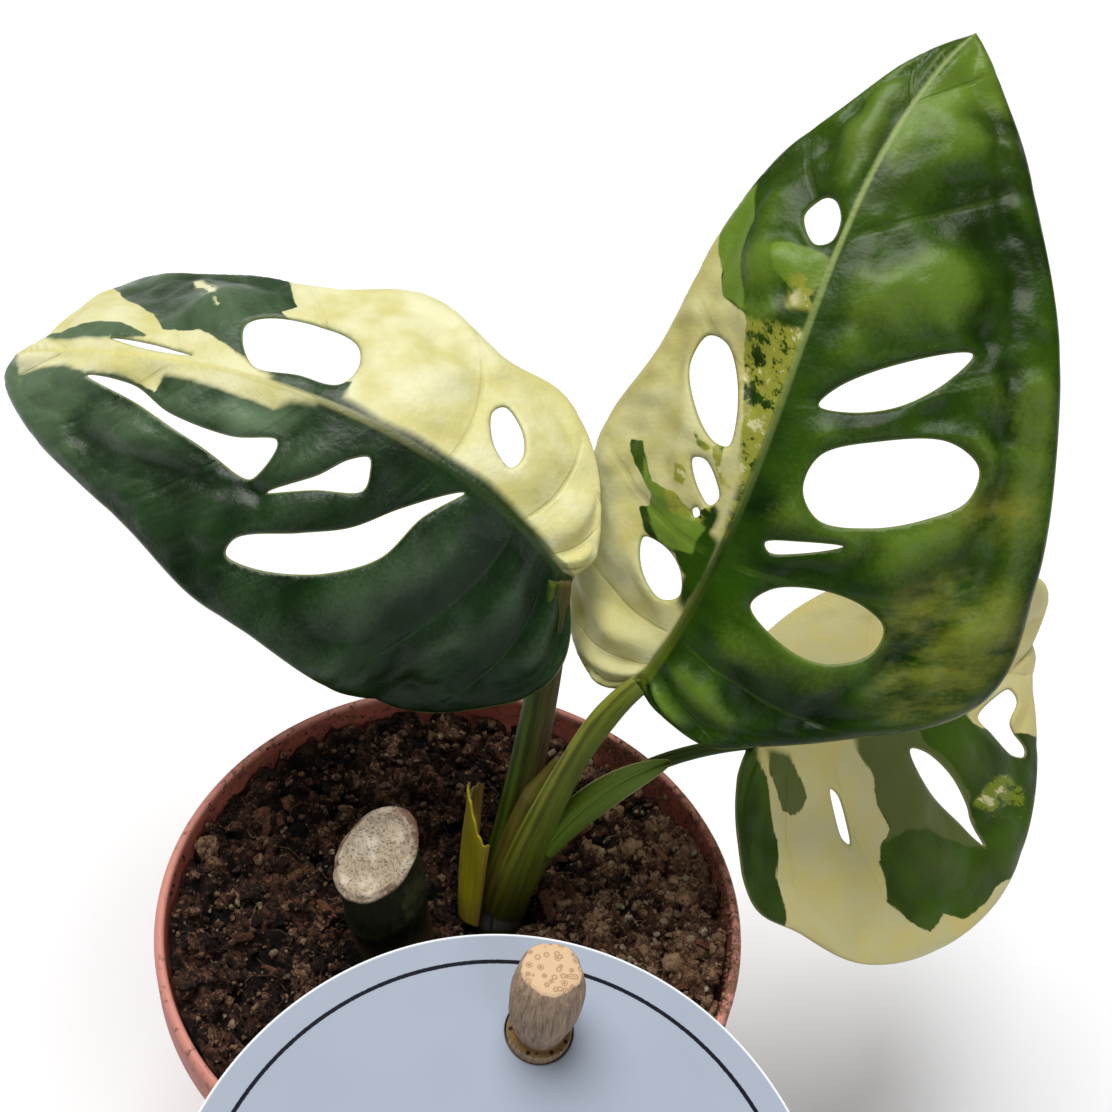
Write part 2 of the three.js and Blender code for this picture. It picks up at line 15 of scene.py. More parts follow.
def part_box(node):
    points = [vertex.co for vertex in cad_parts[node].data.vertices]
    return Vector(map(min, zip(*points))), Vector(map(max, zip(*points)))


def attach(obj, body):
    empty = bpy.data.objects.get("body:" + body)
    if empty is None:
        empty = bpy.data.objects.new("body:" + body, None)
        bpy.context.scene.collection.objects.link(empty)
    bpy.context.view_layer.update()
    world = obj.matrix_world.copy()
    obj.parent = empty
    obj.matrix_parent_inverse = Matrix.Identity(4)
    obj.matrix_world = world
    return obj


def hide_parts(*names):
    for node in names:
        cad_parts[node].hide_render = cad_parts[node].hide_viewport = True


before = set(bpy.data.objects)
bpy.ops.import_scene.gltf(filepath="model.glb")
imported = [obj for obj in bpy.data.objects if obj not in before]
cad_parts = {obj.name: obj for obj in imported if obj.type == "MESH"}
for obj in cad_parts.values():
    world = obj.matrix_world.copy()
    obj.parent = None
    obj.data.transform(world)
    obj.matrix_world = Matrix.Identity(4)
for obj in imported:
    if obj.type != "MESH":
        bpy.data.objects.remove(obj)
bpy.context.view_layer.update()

bl_info = {
    "name": "Potted Variegated Vine",
    "version": (1, 0, 0),
    "blender": (4, 5, 0),
    "location": "3D View > Sidebar > Vine",
    "description": "Adds the pot, soil, stems, leaves and tag of a variegated swiss cheese vine",
    "category": "Object",
}

MM = 0.001
LEFT, RIGHT = 1, -1


def srgb(red, green, blue):
    """Linear colour from three display values of 0 to 255."""
    shares = np.array([red, green, blue]) / 255
    linear = np.where(shares <= 0.04045, shares / 12.92, ((shares + 0.055) / 1.055) ** 2.4)
    return tuple(float(value) for value in linear)


def top_of(node):
    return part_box(node)[1].z


# Settings


def length(name, description, default):
    return FloatProperty(name=name, description=description, default=default, min=0, unit="LENGTH")


def amount(name, description, default):
    return IntProperty(name=name, description=description, default=default, min=0)


def colour(name, description, default):
    return FloatVectorProperty(
        name=name, description=description, default=default, subtype="COLOR", min=0, max=1
    )


class PotSettings(bpy.types.PropertyGroup):
    """Sizes and colours of the nursery pot."""

    height: length("Height", "From the base to the lip", top_of("pot"))
    rim: length("Rim radius", "Outside of the band at the mouth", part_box("pot")[1].x)
    base: length("Base radius", "Outside of the wall at its foot", 0.031)
    wall: length("Wall", "Thickness of the plastic", 0.0013)
    band: length("Band height", "Height of the thicker band round the mouth", 0.0085)
    step: length("Band step", "How far the band stands out from the wall", 0.0016)
    outside: colour("Outside", "Faded brick red of the outside", srgb(176, 94, 80))
    # Painted shade: the inside gets a deeper red that stands for the shade within the pot's wall.
    inside: colour("Inside", "Deeper red of the inside", srgb(120, 54, 44))
    dust: colour("Dust", "Dried soil that clings to the lip", srgb(116, 84, 58))


class SoilSettings(bpy.types.PropertyGroup):
    """Sizes, amounts and colours of the potting soil."""

    level: length("Level", "Height of the soil's middle above the base", 0.072)
    clods: amount("Clods", "Coarse lumps of peat", 240)
    crumbs: amount("Crumbs", "Small lumps of peat", 1950)
    grit: amount("Grit", "Fine grains of peat", 6300)
    stuck: amount("Stuck grit", "Grains on the pot's wall", 420)
    chips: amount("Bark chips", "Flat bits of bark", 60)
    fibres: amount("Fibres", "Loose root fibres", 200)
    pale: amount("Pale bits", "Bits of perlite and lime", 800)
    # On the ground this dark is reached in the gaps partly through painted shade that follows the crumbs'
    # height.
    dark: colour("Dark", "Damp peat in the gaps", srgb(12, 7, 5))
    brown: colour("Brown", "Peat on the surface", srgb(104, 68, 50))
    # On the ground this light is reached on the tops of the lumps partly through painted light.
    light: colour("Light", "Dry peat on the tops of crumbs", srgb(196, 158, 122))
    bark: colour("Bark", "Red-brown bark", srgb(104, 64, 46))


class StemSettings(bpy.types.PropertyGroup):
    """Colours of the old cane and the scale leaf."""

    brown: colour("Brown", "Foot and torn tip of the scale leaf", srgb(104, 82, 40))
    cane: colour("Cane", "Skin of the old cane", srgb(30, 38, 10))
    callus: colour("Callus", "Dried face of the cane's cut", srgb(186, 170, 148))


class LeafSettings(bpy.types.PropertyGroup):
    """Sizes shared by the leaf blades."""

    blade: length("Thickness", "Thickness of the blade", 0.00055)
    rib: length("Midrib", "How far the midrib stands out below", 0.0009)
    pucker: length("Pucker", "Height of the pillows between side veins", 0.0007)
    spacing: length("Spacing", "Distance between the points of the mesh", 0.00062)


class TagSettings(bpy.types.PropertyGroup):
    """Sizes and colours of the card and its stick."""

    radius: length("Card radius", "Radius of the round card", 0.045)
    thickness: length("Card thickness", "Thickness of the card", 0.0012)
    ring: length("Ring radius", "Radius of the printed ring line", 0.0407)
    line: length("Line width", "Width of the printed ring line", 0.00062)
    card: colour("Card", "Coated face of the card", srgb(153, 162, 177))
    ink: colour("Ink", "Printed ring line", srgb(6, 6, 22))
    wood: colour("Wood", "Side of the stick", srgb(156, 131, 110))
    grain: colour("End grain", "Cut faces of the stick", srgb(214, 182, 146))


class StageSettings(bpy.types.PropertyGroup):
    """Floor, lights and camera."""

    floor: colour("Floor", "Plain pale floor", srgb(244, 245, 247))
    sky: FloatProperty(name="Sky", description="Strength of the even light", default=0.12, min=0)
    key: FloatProperty(name="Key", description="Power of the main light in watts", default=58.0, min=0)
    fill: FloatProperty(name="Fill", description="Power of the front light in watts", default=1.8, min=0)
    lens: FloatProperty(name="Lens", description="Focal length in mm", default=51.8, min=1)
    pitch: FloatProperty(
        name="Pitch", description="How far the camera looks down", default=0.76314, subtype="ANGLE"
    )
    roll: FloatProperty(
        name="Roll", description="How far the camera leans", default=0.12101, subtype="ANGLE"
    )


# Numbers


def hashed(cells, seed):
    """A fixed random number from 0 to 1 for each row of whole numbers."""
    mixed = cells @ np.array([127.1, 311.7, 74.7]) + 17.3 * seed
    return np.abs(np.modf(np.sin(mixed) * 43758.5453)[0])


def noise(points, cell, seed=0):
    """Smooth random values from -1 to 1: the eight corners of a point's cell, blended by smoothstep."""
    scaled = np.asarray(points, float) / cell
    low = np.floor(scaled)
    share = scaled - low
    share = share * share * (3 - 2 * share)
    total = np.zeros(len(scaled))
    for corner in np.ndindex(2, 2, 2):
        weight = np.prod(np.where(corner, share, 1 - share), axis=1)
        total += weight * hashed(low + corner, seed)
    return 2 * total - 1


def smoothstep(low, high, values):
    """0 below low, 1 above high, and 3t² - 2t³ between them."""
    share = np.clip((values - low) / (high - low), 0, 1)
    return share * share * (3 - 2 * share)


def unit(vectors):
    return vectors / np.linalg.norm(vectors, axis=-1, keepdims=True)


def full_turn(count):
    """Angles of a full turn in even steps."""
    return np.linspace(0, 2 * np.pi, count, endpoint=False)


def bezier(corners, share):
    """Places and directions on a cubic Bezier curve, from its four corners."""
    a, b, c, d = np.asarray(corners, float)
    t = np.asarray(share, float)[..., None]
    s = 1 - t
    places = s**3 * a + 3 * s * s * t * b + 3 * s * t * t * c + t**3 * d
    ahead = s * s * (b - a) + 2 * s * t * (c - b) + t * t * (d - c)
    return places, unit(ahead)


def through(table, share):
    """Catmull-Rom curve through the table's evenly spaced rows, its ends mirrored."""
    rows = np.asarray(table, float)
    rows = np.concatenate([2 * rows[:1] - rows[1:2], rows, 2 * rows[-1:] - rows[-2:-1]])
    place = np.clip(np.asarray(share, float), 0, 1) * (len(rows) - 3)
    index = np.minimum(place.astype(int), len(rows) - 4)
    t = (place - index)[..., None]
    a, b, c, d = (rows[index + k] for k in range(4))
    return b + 0.5 * t * (c - a + t * (2 * a - 5 * b + 4 * c - d + t * (3 * (b - c) + d - a)))


def rounded_loop(corners, step):
    """Closed centripetal Catmull-Rom curve through a few corners, as points about one step apart."""
    b = np.asarray(corners, float)
    a, c, d = np.roll(b, 1, 0), np.roll(b, -1, 0), np.roll(b, -2, 0)
    before, here, after = (
        np.linalg.norm(q - p, axis=1)[:, None] ** 0.5 for p, q in ((a, b), (b, c), (c, d))
    )
    leave = here * ((b - a) / before - (c - a) / (before + here) + (c - b) / here)
    reach = here * ((c - b) / here - (d - b) / (here + after) + (d - c) / after)
    pieces = []
    for k in range(len(b)):
        count = max(2, int(np.linalg.norm(c[k] - b[k]) / step))
        t = np.arange(count)[:, None] / count
        square = t * t * (3 * (c[k] - b[k]) - 2 * leave[k] - reach[k])
        cube = t**3 * (2 * (b[k] - c[k]) + leave[k] + reach[k])
        pieces.append(b[k] + t * leave[k] + square + cube)
    return np.concatenate(pieces)


def nearest(points, others):
    """How far each point is from the nearest of the others, and which one that is."""
    chunks = np.array_split(points, max(1, len(points) * len(others) // 3_000_000))
    distances, picks = [], []
    for chunk in chunks:
        apart = ((chunk[:, None] - others[None]) ** 2).sum(-1)
        pick = apart.argmin(1)
        picks.append(pick)
        distances.append(np.sqrt(apart[np.arange(len(chunk)), pick]))
    return np.concatenate(distances), np.concatenate(picks)


def inside(points, outline):
    """Whether points lie in a closed outline: a line to the right crosses it an odd number of times."""
    start, end = outline, np.roll(outline, -1, 0)
    found = np.zeros(len(points), bool)
    for (x0, y0), (x1, y1) in zip(start, end):
        if y0 != y1:
            crosses = (y0 > points[:, 1]) != (y1 > points[:, 1])
            found ^= crosses & (points[:, 0] < (x1 - x0) * (points[:, 1] - y0) / (y1 - y0) + x0)
    return found


def line_distance(points, start, end):
    """How far each point is from the nearest of the straight lines from start to end."""
    run = end - start
    gap = points[:, None] - start[None]
    share = np.clip((gap * run).sum(-1) / (run * run).sum(-1), 0, 1)
    return np.linalg.norm(gap - share[..., None] * run, axis=-1).min(1)


def depth_in(points, outline):
    """How deep each point lies in an outline: the distance to its edge, negative outside it."""
    distance = line_distance(points, outline, np.roll(outline, -1, 0))
    return np.where(inside(points, outline), distance, -distance)


# Meshes


def grid_faces(rows, columns, wrap=False):
    """Triangles of a grid of points; wrap joins its last column to its first."""
    row, column = np.meshgrid(
        np.arange(rows - 1), np.arange(columns if wrap else columns - 1), indexing="ij"
    )
    a = (row * columns + column).ravel()
    b = (row * columns + (column + 1) % columns).ravel()
    corners = np.stack([a, b, b + columns, a + columns], 1)
    return np.concatenate([corners[:, [0, 1, 2]], corners[:, [0, 2, 3]]])


def cap_faces(first, columns, centre, outwards):
    """Triangles from a ring's points, starting at number first, to a centre point."""
    ring = first + np.arange(columns)
    ahead = np.roll(ring, -1)
    order = (ring, ahead) if outwards else (ahead, ring)
    return np.stack([*order, np.full(columns, centre)], 1)


def capped(rings):
    """Points and triangles of stacked rings, each (columns, 3), closed by a point at either end."""
    rows, columns = rings.shape[:2]
    points = np.concatenate([rings.reshape(-1, 3), [rings[0].mean(0)], [rings[-1].mean(0)]])
    faces = [
        grid_faces(rows, columns, wrap=True),
        cap_faces(0, columns, rows * columns, False),
        cap_faces((rows - 1) * columns, columns, rows * columns + 1, True),
    ]
    return points, np.concatenate(faces)


def two_sheets(faces, start, end, count):
    """Triangles of a sheet of count points, its lower copy and a wall along the edges start to end."""
    wall = [np.stack([start, start + count, end + count], 1), np.stack([start, end + count, end], 1)]
    return np.concatenate([faces, faces[:, ::-1] + count, *wall])


def joined(parts):
    """One list of points, triangles and values from several, each (points, faces, values by name)."""
    points, faces, values, count = [], [], {}, 0
    for part_points, part_faces, part_values in parts:
        points.append(part_points)
        faces.append(part_faces + count)
        count += len(part_points)
        for name, numbers in part_values.items():
            values.setdefault(name, []).append(numbers)
    values = {name: np.concatenate(numbers) for name, numbers in values.items()}
    return np.concatenate(points), np.concatenate(faces), values


def new_piece(name, points, faces, material, node=None, values=None, smooth=True):
    """Makes a mesh object from millimetre points and triangles, parents it to the root body and hides the
    imported part it stands for.

    values holds a number or a vector for each point, which the material reads by name.
    """
    mesh = bpy.data.meshes.new(name)
    mesh.vertices.add(len(points))
    mesh.vertices.foreach_set("co", (np.asarray(points) * MM).astype(np.float32).ravel())
    mesh.loops.add(faces.size)
    mesh.loops.foreach_set("vertex_index", faces.astype(np.int32).ravel())
    mesh.polygons.add(len(faces))
    mesh.polygons.foreach_set("loop_start", np.arange(0, faces.size, 3, dtype=np.int32))
    mesh.polygons.foreach_set("use_smooth", np.full(len(faces), smooth))
    mesh.update(calc_edges=True)
    for key, numbers in (values or {}).items():
        kind, field = ("FLOAT", "value") if numbers.ndim == 1 else ("FLOAT_VECTOR", "vector")
        attribute = mesh.attributes.new(key, kind, "POINT")
        attribute.data.foreach_set(field, numbers.astype(np.float32).ravel())
    mesh.materials.append(material)
    piece = bpy.data.objects.new(name, mesh)
    bpy.context.scene.collection.objects.link(piece)
    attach(piece, "root")
    if node:
        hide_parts(node)
    return piece


def turned(profile, sides, bevel=0.35, wobble=None):
    """Points and triangles of a profile of (radius, height) pairs turned about Z, corners bevelled.

    The profile starts and ends on the axis. Each corner is cut by two points one bevel away from it.
    """
    profile = np.asarray(profile, float)
    middle = profile[1:-1]
    back, on = profile[:-2] - middle, profile[2:] - middle
    shorter = np.minimum(*(np.linalg.norm(v, axis=1) for v in (back, on)))
    reach = np.minimum(bevel, 0.45 * shorter)[:, None]
    back, on = unit(back), unit(on)
    ends = [middle + back * reach, middle + 0.3 * reach * (back + on), middle + on * reach]
    line = np.stack(ends, 1).reshape(-1, 2)
    angle = full_turn(sides)
    radius = line[:, :1] * np.ones(sides)
    if wobble:
        radius = radius + wobble(line[:, 1:], angle)
    rings = np.stack([radius * np.cos(angle), radius * np.sin(angle), line[:, 1:] * np.ones(sides)], -1)
    points, faces = capped(rings)
    points[-2], points[-1] = (0, 0, profile[0, 1]), (0, 0, profile[-1, 1])
    return points, faces


def cut(piece, cutter):
    """Cuts one object out of another with a Boolean modifier, applies it and removes the cutter."""
    modifier = piece.modifiers.new("cut", "BOOLEAN")
    modifier.object = cutter
    modifier.solver = "EXACT"
    bpy.context.view_layer.update()
    graph = bpy.context.evaluated_depsgraph_get()
    made = bpy.data.meshes.new_from_object(piece.evaluated_get(graph))
    piece.modifiers.clear()
    piece.data = made
    made.set_sharp_from_angle(angle=math.radians(35))
    bpy.data.objects.remove(cutter)


def cutting_rods(rods):
    """A bare object of straight round rods, each from one millimetre point to another with a radius."""
    parts = []
    for start, end, radius in rods:
        points, faces = capped(swept(np.array([start, end], float), radius, 48, (1, 0, 0)))
        parts.append((points, faces, {}))
    points, faces, _ = joined(parts)
    mesh = bpy.data.meshes.new("rods")
    mesh.from_pydata((points * MM).tolist(), [], faces.tolist())
    rod = bpy.data.objects.new("rods", mesh)
    bpy.context.scene.collection.objects.link(rod)
    return rod


def swept(path, radius, sides, facing):
    """Rings round a path: centre + radius × (cos a × front + sin a × beside).

    front is the facing direction made square to the path, and beside is square to both. radius is a
    number, one for each place, or one for each place and angle.
    """
    ahead = unit(np.gradient(path, axis=0))
    facing = np.asarray(facing, float)
    front = unit(facing - (ahead @ facing)[:, None] * ahead)
    beside = np.cross(ahead, front)
    angle = full_turn(sides)
    if np.ndim(radius) < 2:
        radius = np.reshape(radius, (-1, 1))
    radius = np.broadcast_to(radius, (len(path), sides))
    across = np.cos(angle)[:, None] * front[:, None] + np.sin(angle)[:, None] * beside[:, None]
    return path[:, None] + radius[..., None] * across


def ball(levels):
    """Points and triangles of an icosahedron, each triangle split in four at each level."""
    gold = (1 + 5**0.5) / 2
    points = np.array([(0, s, t * gold) for s in (-1, 1) for t in (-1, 1)], float)
    points = unit(np.concatenate([np.roll(points, k, 1) for k in range(3)]))
    near = np.linalg.norm(points[:, None] - points[None], axis=-1) < 1.2
    faces = np.array([
        (a, b, c) if np.linalg.det(points[[a, b, c]]) > 0 else (a, c, b)
        for a in range(12) for b in range(a) for c in range(b)
        if near[a, b] and near[b, c] and near[a, c]
    ])
    for _ in range(levels):
        a, b, c = (points[faces[:, k]] for k in range(3))
        triangles = [(a, a + b, c + a), (b, b + c, a + b), (c, c + a, b + c), (a + b, b + c, c + a)]
        soup = unit(np.concatenate([np.stack(t, 1) for t in triangles]).reshape(-1, 3)).round(9)
        points, index = np.unique(soup, axis=0, return_inverse=True)
        faces = index.reshape(-1, 3)
    return points, faces


# Finishes


class Value:
    """One socket of a material, with arithmetic that adds Math nodes."""

    def __init__(self, finish, socket):
        self.finish = finish
        self.socket = socket

    def __add__(self, other):
        return self.finish.math("ADD", self, other)

    def __sub__(self, other):
        return self.finish.math("SUBTRACT", self, other)

    def __rsub__(self, other):
        return self.finish.math("SUBTRACT", other, self)

    def __mul__(self, other):
        return self.finish.math("MULTIPLY", self, other)

    def __truediv__(self, other):
        return self.finish.math("DIVIDE", self, other)

    def __abs__(self):
        return self.finish.math("ABSOLUTE", self)

    def __pow__(self, other):
        return self.finish.math("POWER", self, other)

    __radd__ = __add__
    __rmul__ = __mul__

    def wave(self):
        return self.finish.math("SINE", self)

    def step(self, low, high):
        """0 below low and 1 above high, or the other way round where low is above high."""
        if low > high:
            return 1 - self.step(high, low)
        sockets = {"Value": self, "From Min": low, "From Max": high}
        return self.finish.node("MapRange", {"interpolation_type": "SMOOTHSTEP"}, sockets)


class Finish:
    """A material whose nodes are added by expressions, around one Principled shader."""

    def __init__(self, name, **fixed):
        self.material = bpy.data.materials.new(name)
        self.material.use_nodes = True
        self.tree = self.material.node_tree
        self.tree.nodes.clear()
        output = self.tree.nodes.new("ShaderNodeOutputMaterial")
        self.shader = self.tree.nodes.new("ShaderNodeBsdfPrincipled")
        self.tree.links.new(self.shader.outputs[0], output.inputs["Surface"])
        for key, value in fixed.items():
            self.shader.inputs[key.replace("_", " ")].default_value = value

    def node(self, kind, settings=None, sockets=None, output=0):
        """Adds a shader node: its settings first, then its sockets' values or links.

        A colour of three values becomes opaque. output names one socket, or several in a tuple.
        """
        made = self.tree.nodes.new("ShaderNode" + kind)
        for key, setting in (settings or {}).items():
            if key == "stops":
                self.set_stops(made.color_ramp, setting)
            else:
                setattr(made, key, setting)
        for key, given in (sockets or {}).items():
            socket = self.find(made.inputs, key)
            if isinstance(given, Value):
                self.tree.links.new(given.socket, socket)
            elif socket.type == "RGBA":
                socket.default_value = (*given, 1)
            else:
                socket.default_value = given
        if isinstance(output, tuple):
            return [Value(self, self.find(made.outputs, key)) for key in output]
        return Value(self, self.find(made.outputs, output))

    @staticmethod
    def find(sockets, key):
        """A socket by its number, its identifier or the name it shows."""
        if isinstance(key, int):
            return sockets[key]
        return next(s for s in sockets if key == s.identifier or (key == s.name and s.enabled))

    @staticmethod
    def set_stops(ramp, stops):
        for position, _ in stops[2:]:
            ramp.elements.new(position)
        for element, (position, shade) in zip(ramp.elements, stops):
            element.position = position
            element.color = (*shade, 1)

    def math(self, operation, *values):
        return self.node("Math", {"operation": operation}, dict(enumerate(values)))

    def vector(self, operation, *values, output="Vector"):
        return self.node("VectorMath", {"operation": operation}, dict(enumerate(values)), output)

    def place(self):
        """Object coordinates in millimetres."""
        return self.scaled(self.node("TexCoord", output="Object"), (1000, 1000, 1000))

    def scaled(self, vector, factors):
        return self.vector("MULTIPLY", vector, factors)

    def attribute(self, name):
        return self.node("Attribute", {"attribute_name": name}, output="Vector")

    def number(self, name):
        return self.node("Attribute", {"attribute_name": name}, output="Fac")

    def split(self, vector):
        return self.node("SeparateXYZ", None, {0: vector}, ("X", "Y", "Z"))

    def combine(self, x, y, z):
        return self.node("CombineXYZ", None, {"X": x, "Y": y, "Z": z})

    def cloud(self, vector, size, detail=3.0, roughness=0.55, warp=0.0):
        """Noise from 0 to 1 with features of one size, in the vector's units."""
        sockets = {"Vector": vector, "Scale": 1 / size, "Detail": detail, "Roughness": roughness}
        return self.node("TexNoise", None, {**sockets, "Distortion": warp})

    def cells(self, vector, size, feature="F1"):
        """Distance to the nearest of scattered points, about one size apart."""
        sockets = {"Vector": vector, "Scale": 1 / size}
        return self.node("TexVoronoi", {"feature": feature}, sockets, "Distance")

    def mix(self, factor, first, second):
        sockets = {"Factor_Float": factor, "A_Color": first, "B_Color": second}
        return self.node("Mix", {"data_type": "RGBA"}, sockets, "Result_Color")

    def ramp(self, value, *stops):
        return self.node("ValToRGB", {"stops": stops}, {"Fac": value}, "Color")

    def bump(self, height, depth, strength):
        """A Bump node: height from 0 to 1 stands for a depth in millimetres."""
        return self.node("Bump", None, {"Height": height, "Distance": depth * MM, "Strength": strength})

    def paint(self, **values):
        """Links what changes over the surface, such as Base_Color, and gives the material."""
        for key, value in values.items():
            self.tree.links.new(value.socket, self.shader.inputs[key.replace("_", " ")])
        return self.material


def pot_finish(pot):
    """Brick-red moulded plastic: chalky scuffs outside, soil dust at the mouth, a deeper red inside that
    is painted shade, and a pale lip top that is a painted highlight.

    A point is indoors where it lies inside a cone through the middle of the wall.
    """
    finish = Finish("pot plastic", IOR=1.46, Specular_IOR_Level=0.3)
    place = finish.place()
    x, y, z = finish.split(place)
    radius = (x * x + y * y) ** 0.5
    wall = z * ((pot.rim - pot.step - pot.base) / pot.height) + pot.base / MM - 0.6
    lip = z.step(pot.height / MM - 1.2, pot.height / MM - 0.4)
    indoors = (radius - wall).step(0.4, 0.0) * (1 - lip)
    broad = finish.cloud(place, 9.0, 4)
    speckle = finish.cloud(place, 0.6, 5, 0.7)
    outside = finish.mix(broad.step(0.35, 0.75) * 0.4, pot.outside, srgb(194, 120, 106))
    # Painted shade: the inner wall takes the deeper inside colour.
    body = finish.mix(indoors, outside, pot.inside)
    # Painted highlight: the top of the lip is lightened to a pale salmon.
    body = finish.mix(lip * 0.7, body, srgb(208, 146, 132))
    where = finish.cloud(place, 16.0, 2) + x * 0.0035
    dirt = (finish.cloud(place, 1.5, 6, 0.75) + indoors * 0.1 + where * 0.35).step(0.68, 0.8)
    near_mouth = z.step(pot.height / MM - 10, pot.height / MM - 3)
    dusted = finish.mix(dirt * near_mouth * 0.9, body, pot.dust)
    grains = (speckle + where * 0.3).step(0.76, 0.8) * near_mouth
    shade = finish.mix(grains * 0.85, dusted, srgb(44, 28, 20))
    scuffs = finish.cloud(finish.scaled(place, (1, 1, 0.15)), 1.6, 4, 0.7)
    return finish.paint(
        Base_Color=finish.mix(scuffs.step(0.58, 0.75) * 0.2, shade, srgb(214, 168, 154)),
        Roughness=0.42 + broad * 0.2 + dirt * 0.3,
        Normal=finish.bump(speckle * 0.3 + dirt * near_mouth * 0.8 + grains, 0.25, 0.6),
    )


def soil_finish(soil):
    """Damp peat with light flecks and wet glints: near black in the gaps and brown on the lumps, in part
    painted shade and light that follow how far each crumb stands out.

    The attribute lump holds how far a point's crumb stands out, in mm. The right side is lighter:
    partly drier peat, partly painted light over the shadow the leaves cast there.
    """
    finish = Finish("potting soil", Specular_IOR_Level=0.25)
    place = finish.place()
    fine = finish.cloud(place, 0.7, 8, 0.8, 0.4)
    broad = finish.cloud(place, 7.0, 3)
    # Lighter to the right: partly drier peat, partly painted light over the shadow the leaves cast there.
    drier_and_lit_right = finish.split(place)[0].step(0, 36) * 0.12
    # Painted shade and light: the tone darkens in the gaps and lightens on the lumps by how far each crumb
    # stands out.
    tone = finish.ramp(
        fine * 0.85 + broad * 0.15 + finish.number("lump") * 0.1 + drier_and_lit_right,
        (0.42, soil.dark), (0.53, srgb(34, 21, 15)), (0.66, soil.brown), (0.84, soil.light),
    )
    glints = finish.cloud(place, 0.4, 3, 0.8)
    return finish.paint(
        Base_Color=tone,
        Roughness=glints.step(0.66, 0.46) * 0.45 + 0.5,
        Normal=finish.bump(fine + glints * 0.5, 1.0, 1.0),
    )


def crumb_finish(name, stops, rough=0.85):
    """Loose bits: each has its own shade along a ramp, with fine grain over it; lighter to the right,
    partly drier and partly painted light.
    """
    finish = Finish(name, Specular_IOR_Level=0.25)
    place = finish.place()
    grain = finish.cloud(place, 0.6, 6, 0.85)
    # Lighter to the right: partly drier bits, partly painted light over the shadow the leaves cast there.
    drier_and_lit_right = finish.split(place)[0].step(0, 34) * 0.3
    tone = finish.ramp(finish.number("shade") * 0.55 + (grain - 0.5) * 2.6 + 0.2 + drier_and_lit_right, *stops)
    return finish.paint(
        Base_Color=tone,
        Roughness=rough - grain * 0.3,
        Normal=finish.bump(grain, 1.0, 1.0),
    )


def stalk_finish(name, look):
    """Waxy stalk: fine lengthwise streaks, dark blotches, a brown foot and the tan scar of a dried wing.

    The attribute stem holds the share along the stalk and the angle round it, and the look's scar the
    shares where the scar starts and ends and the angle at which it lies.
    """
    finish = Finish(name, Specular_IOR_Level=0.25)
    share, angle, _ = finish.split(finish.attribute("stem"))
    around, beside = angle.wave(), (angle + math.pi / 2).wave()
    streak = finish.cloud(finish.combine(around * 7, beside * 7, share * 0.8), 1.0, 5, 0.7)
    blotch = finish.cloud(finish.combine(around, beside, share * 5), 0.9, 3)
    green = finish.mix((around * 0.4 + streak).step(0.2, 0.8), look["left"], look["right"])
    lines = finish.cloud(finish.combine(around * 3, beside * 3, share * 0.5), 1.0, 3)
    shaded = finish.mix((blotch * 0.4 + lines * 0.6).step(0.48, 0.62) * 0.7, green, look["shade"])
    low = (0.4 - share + (streak - 0.5) * 0.5).step(0, 0.4)
    footed = finish.mix(low * 0.8, shaded, look["foot"])
    start, end, turn = look["scar"]
    off = abs(angle - turn) + (streak - 0.5) * 0.5
    scar = off.step(0.42, 0.2) * (share + (streak - 0.5) * 0.1).step(start, start + 0.04)
    scar = scar * (share + (streak - 0.5) * 0.2).step(end, end - 0.15)
    papery = finish.mix(streak.step(0.4, 0.65), srgb(98, 74, 42), srgb(152, 130, 88))
    return finish.paint(
        Base_Color=finish.mix(scar * 0.85, footed, papery),
        Roughness=0.36 + streak * 0.2 + scar * 0.25,
        Normal=finish.bump(streak, 0.35, 0.7),
    )


def cane_finish(stems):
    """Old cane: dark olive skin with lengthwise cracks and pale scars; the cut is a grainy callus."""
    finish = Finish("old cane", Specular_IOR_Level=0.3)
    place = finish.place()
    cut_share = finish.number("cut")
    grain = finish.cloud(place, 0.55, 5, 0.75)
    crack = finish.cloud(finish.scaled(place, (1, 1, 0.16)), 1.2, 5, 0.75)
    patch = finish.cloud(finish.scaled(place, (1, 1, 0.6)), 4.5, 4, 0.6)
    skin = finish.mix(crack.step(0.45, 0.7), stems.cane, srgb(12, 14, 3))
    skin = finish.mix(patch.step(0.54, 0.66) * 0.6, skin, srgb(82, 82, 46))
    low = finish.split(place)[2].step(81, 74)
    skin = finish.mix(low * (0.2 + patch * 0.8), skin, srgb(104, 88, 62))
    pores = finish.cells(place, 0.6).step(0.12, 0.36)
    face = finish.mix(grain.step(0.3, 0.6), srgb(142, 122, 98), stems.callus)
    face = finish.mix(0.35 - pores * 0.35, face, srgb(96, 78, 58))
    face = finish.mix(finish.cloud(place, 3.2, 4, 0.6).step(0.46, 0.7) * 0.6, face, srgb(226, 214, 194))
    rim = cut_share.step(0.3, 0.5) * cut_share.step(0.97, 0.8)
    tone = finish.mix(cut_share.step(0.25, 0.6), skin, face)
    return finish.paint(
        Base_Color=finish.mix(rim * patch.step(0.4, 0.6) * 0.9, tone, srgb(92, 58, 36)),
        Roughness=0.55 + grain * 0.35,
        Normal=finish.bump(grain * 0.6 + crack * 0.5 + pores * 0.5, 0.5, 0.9),
    )


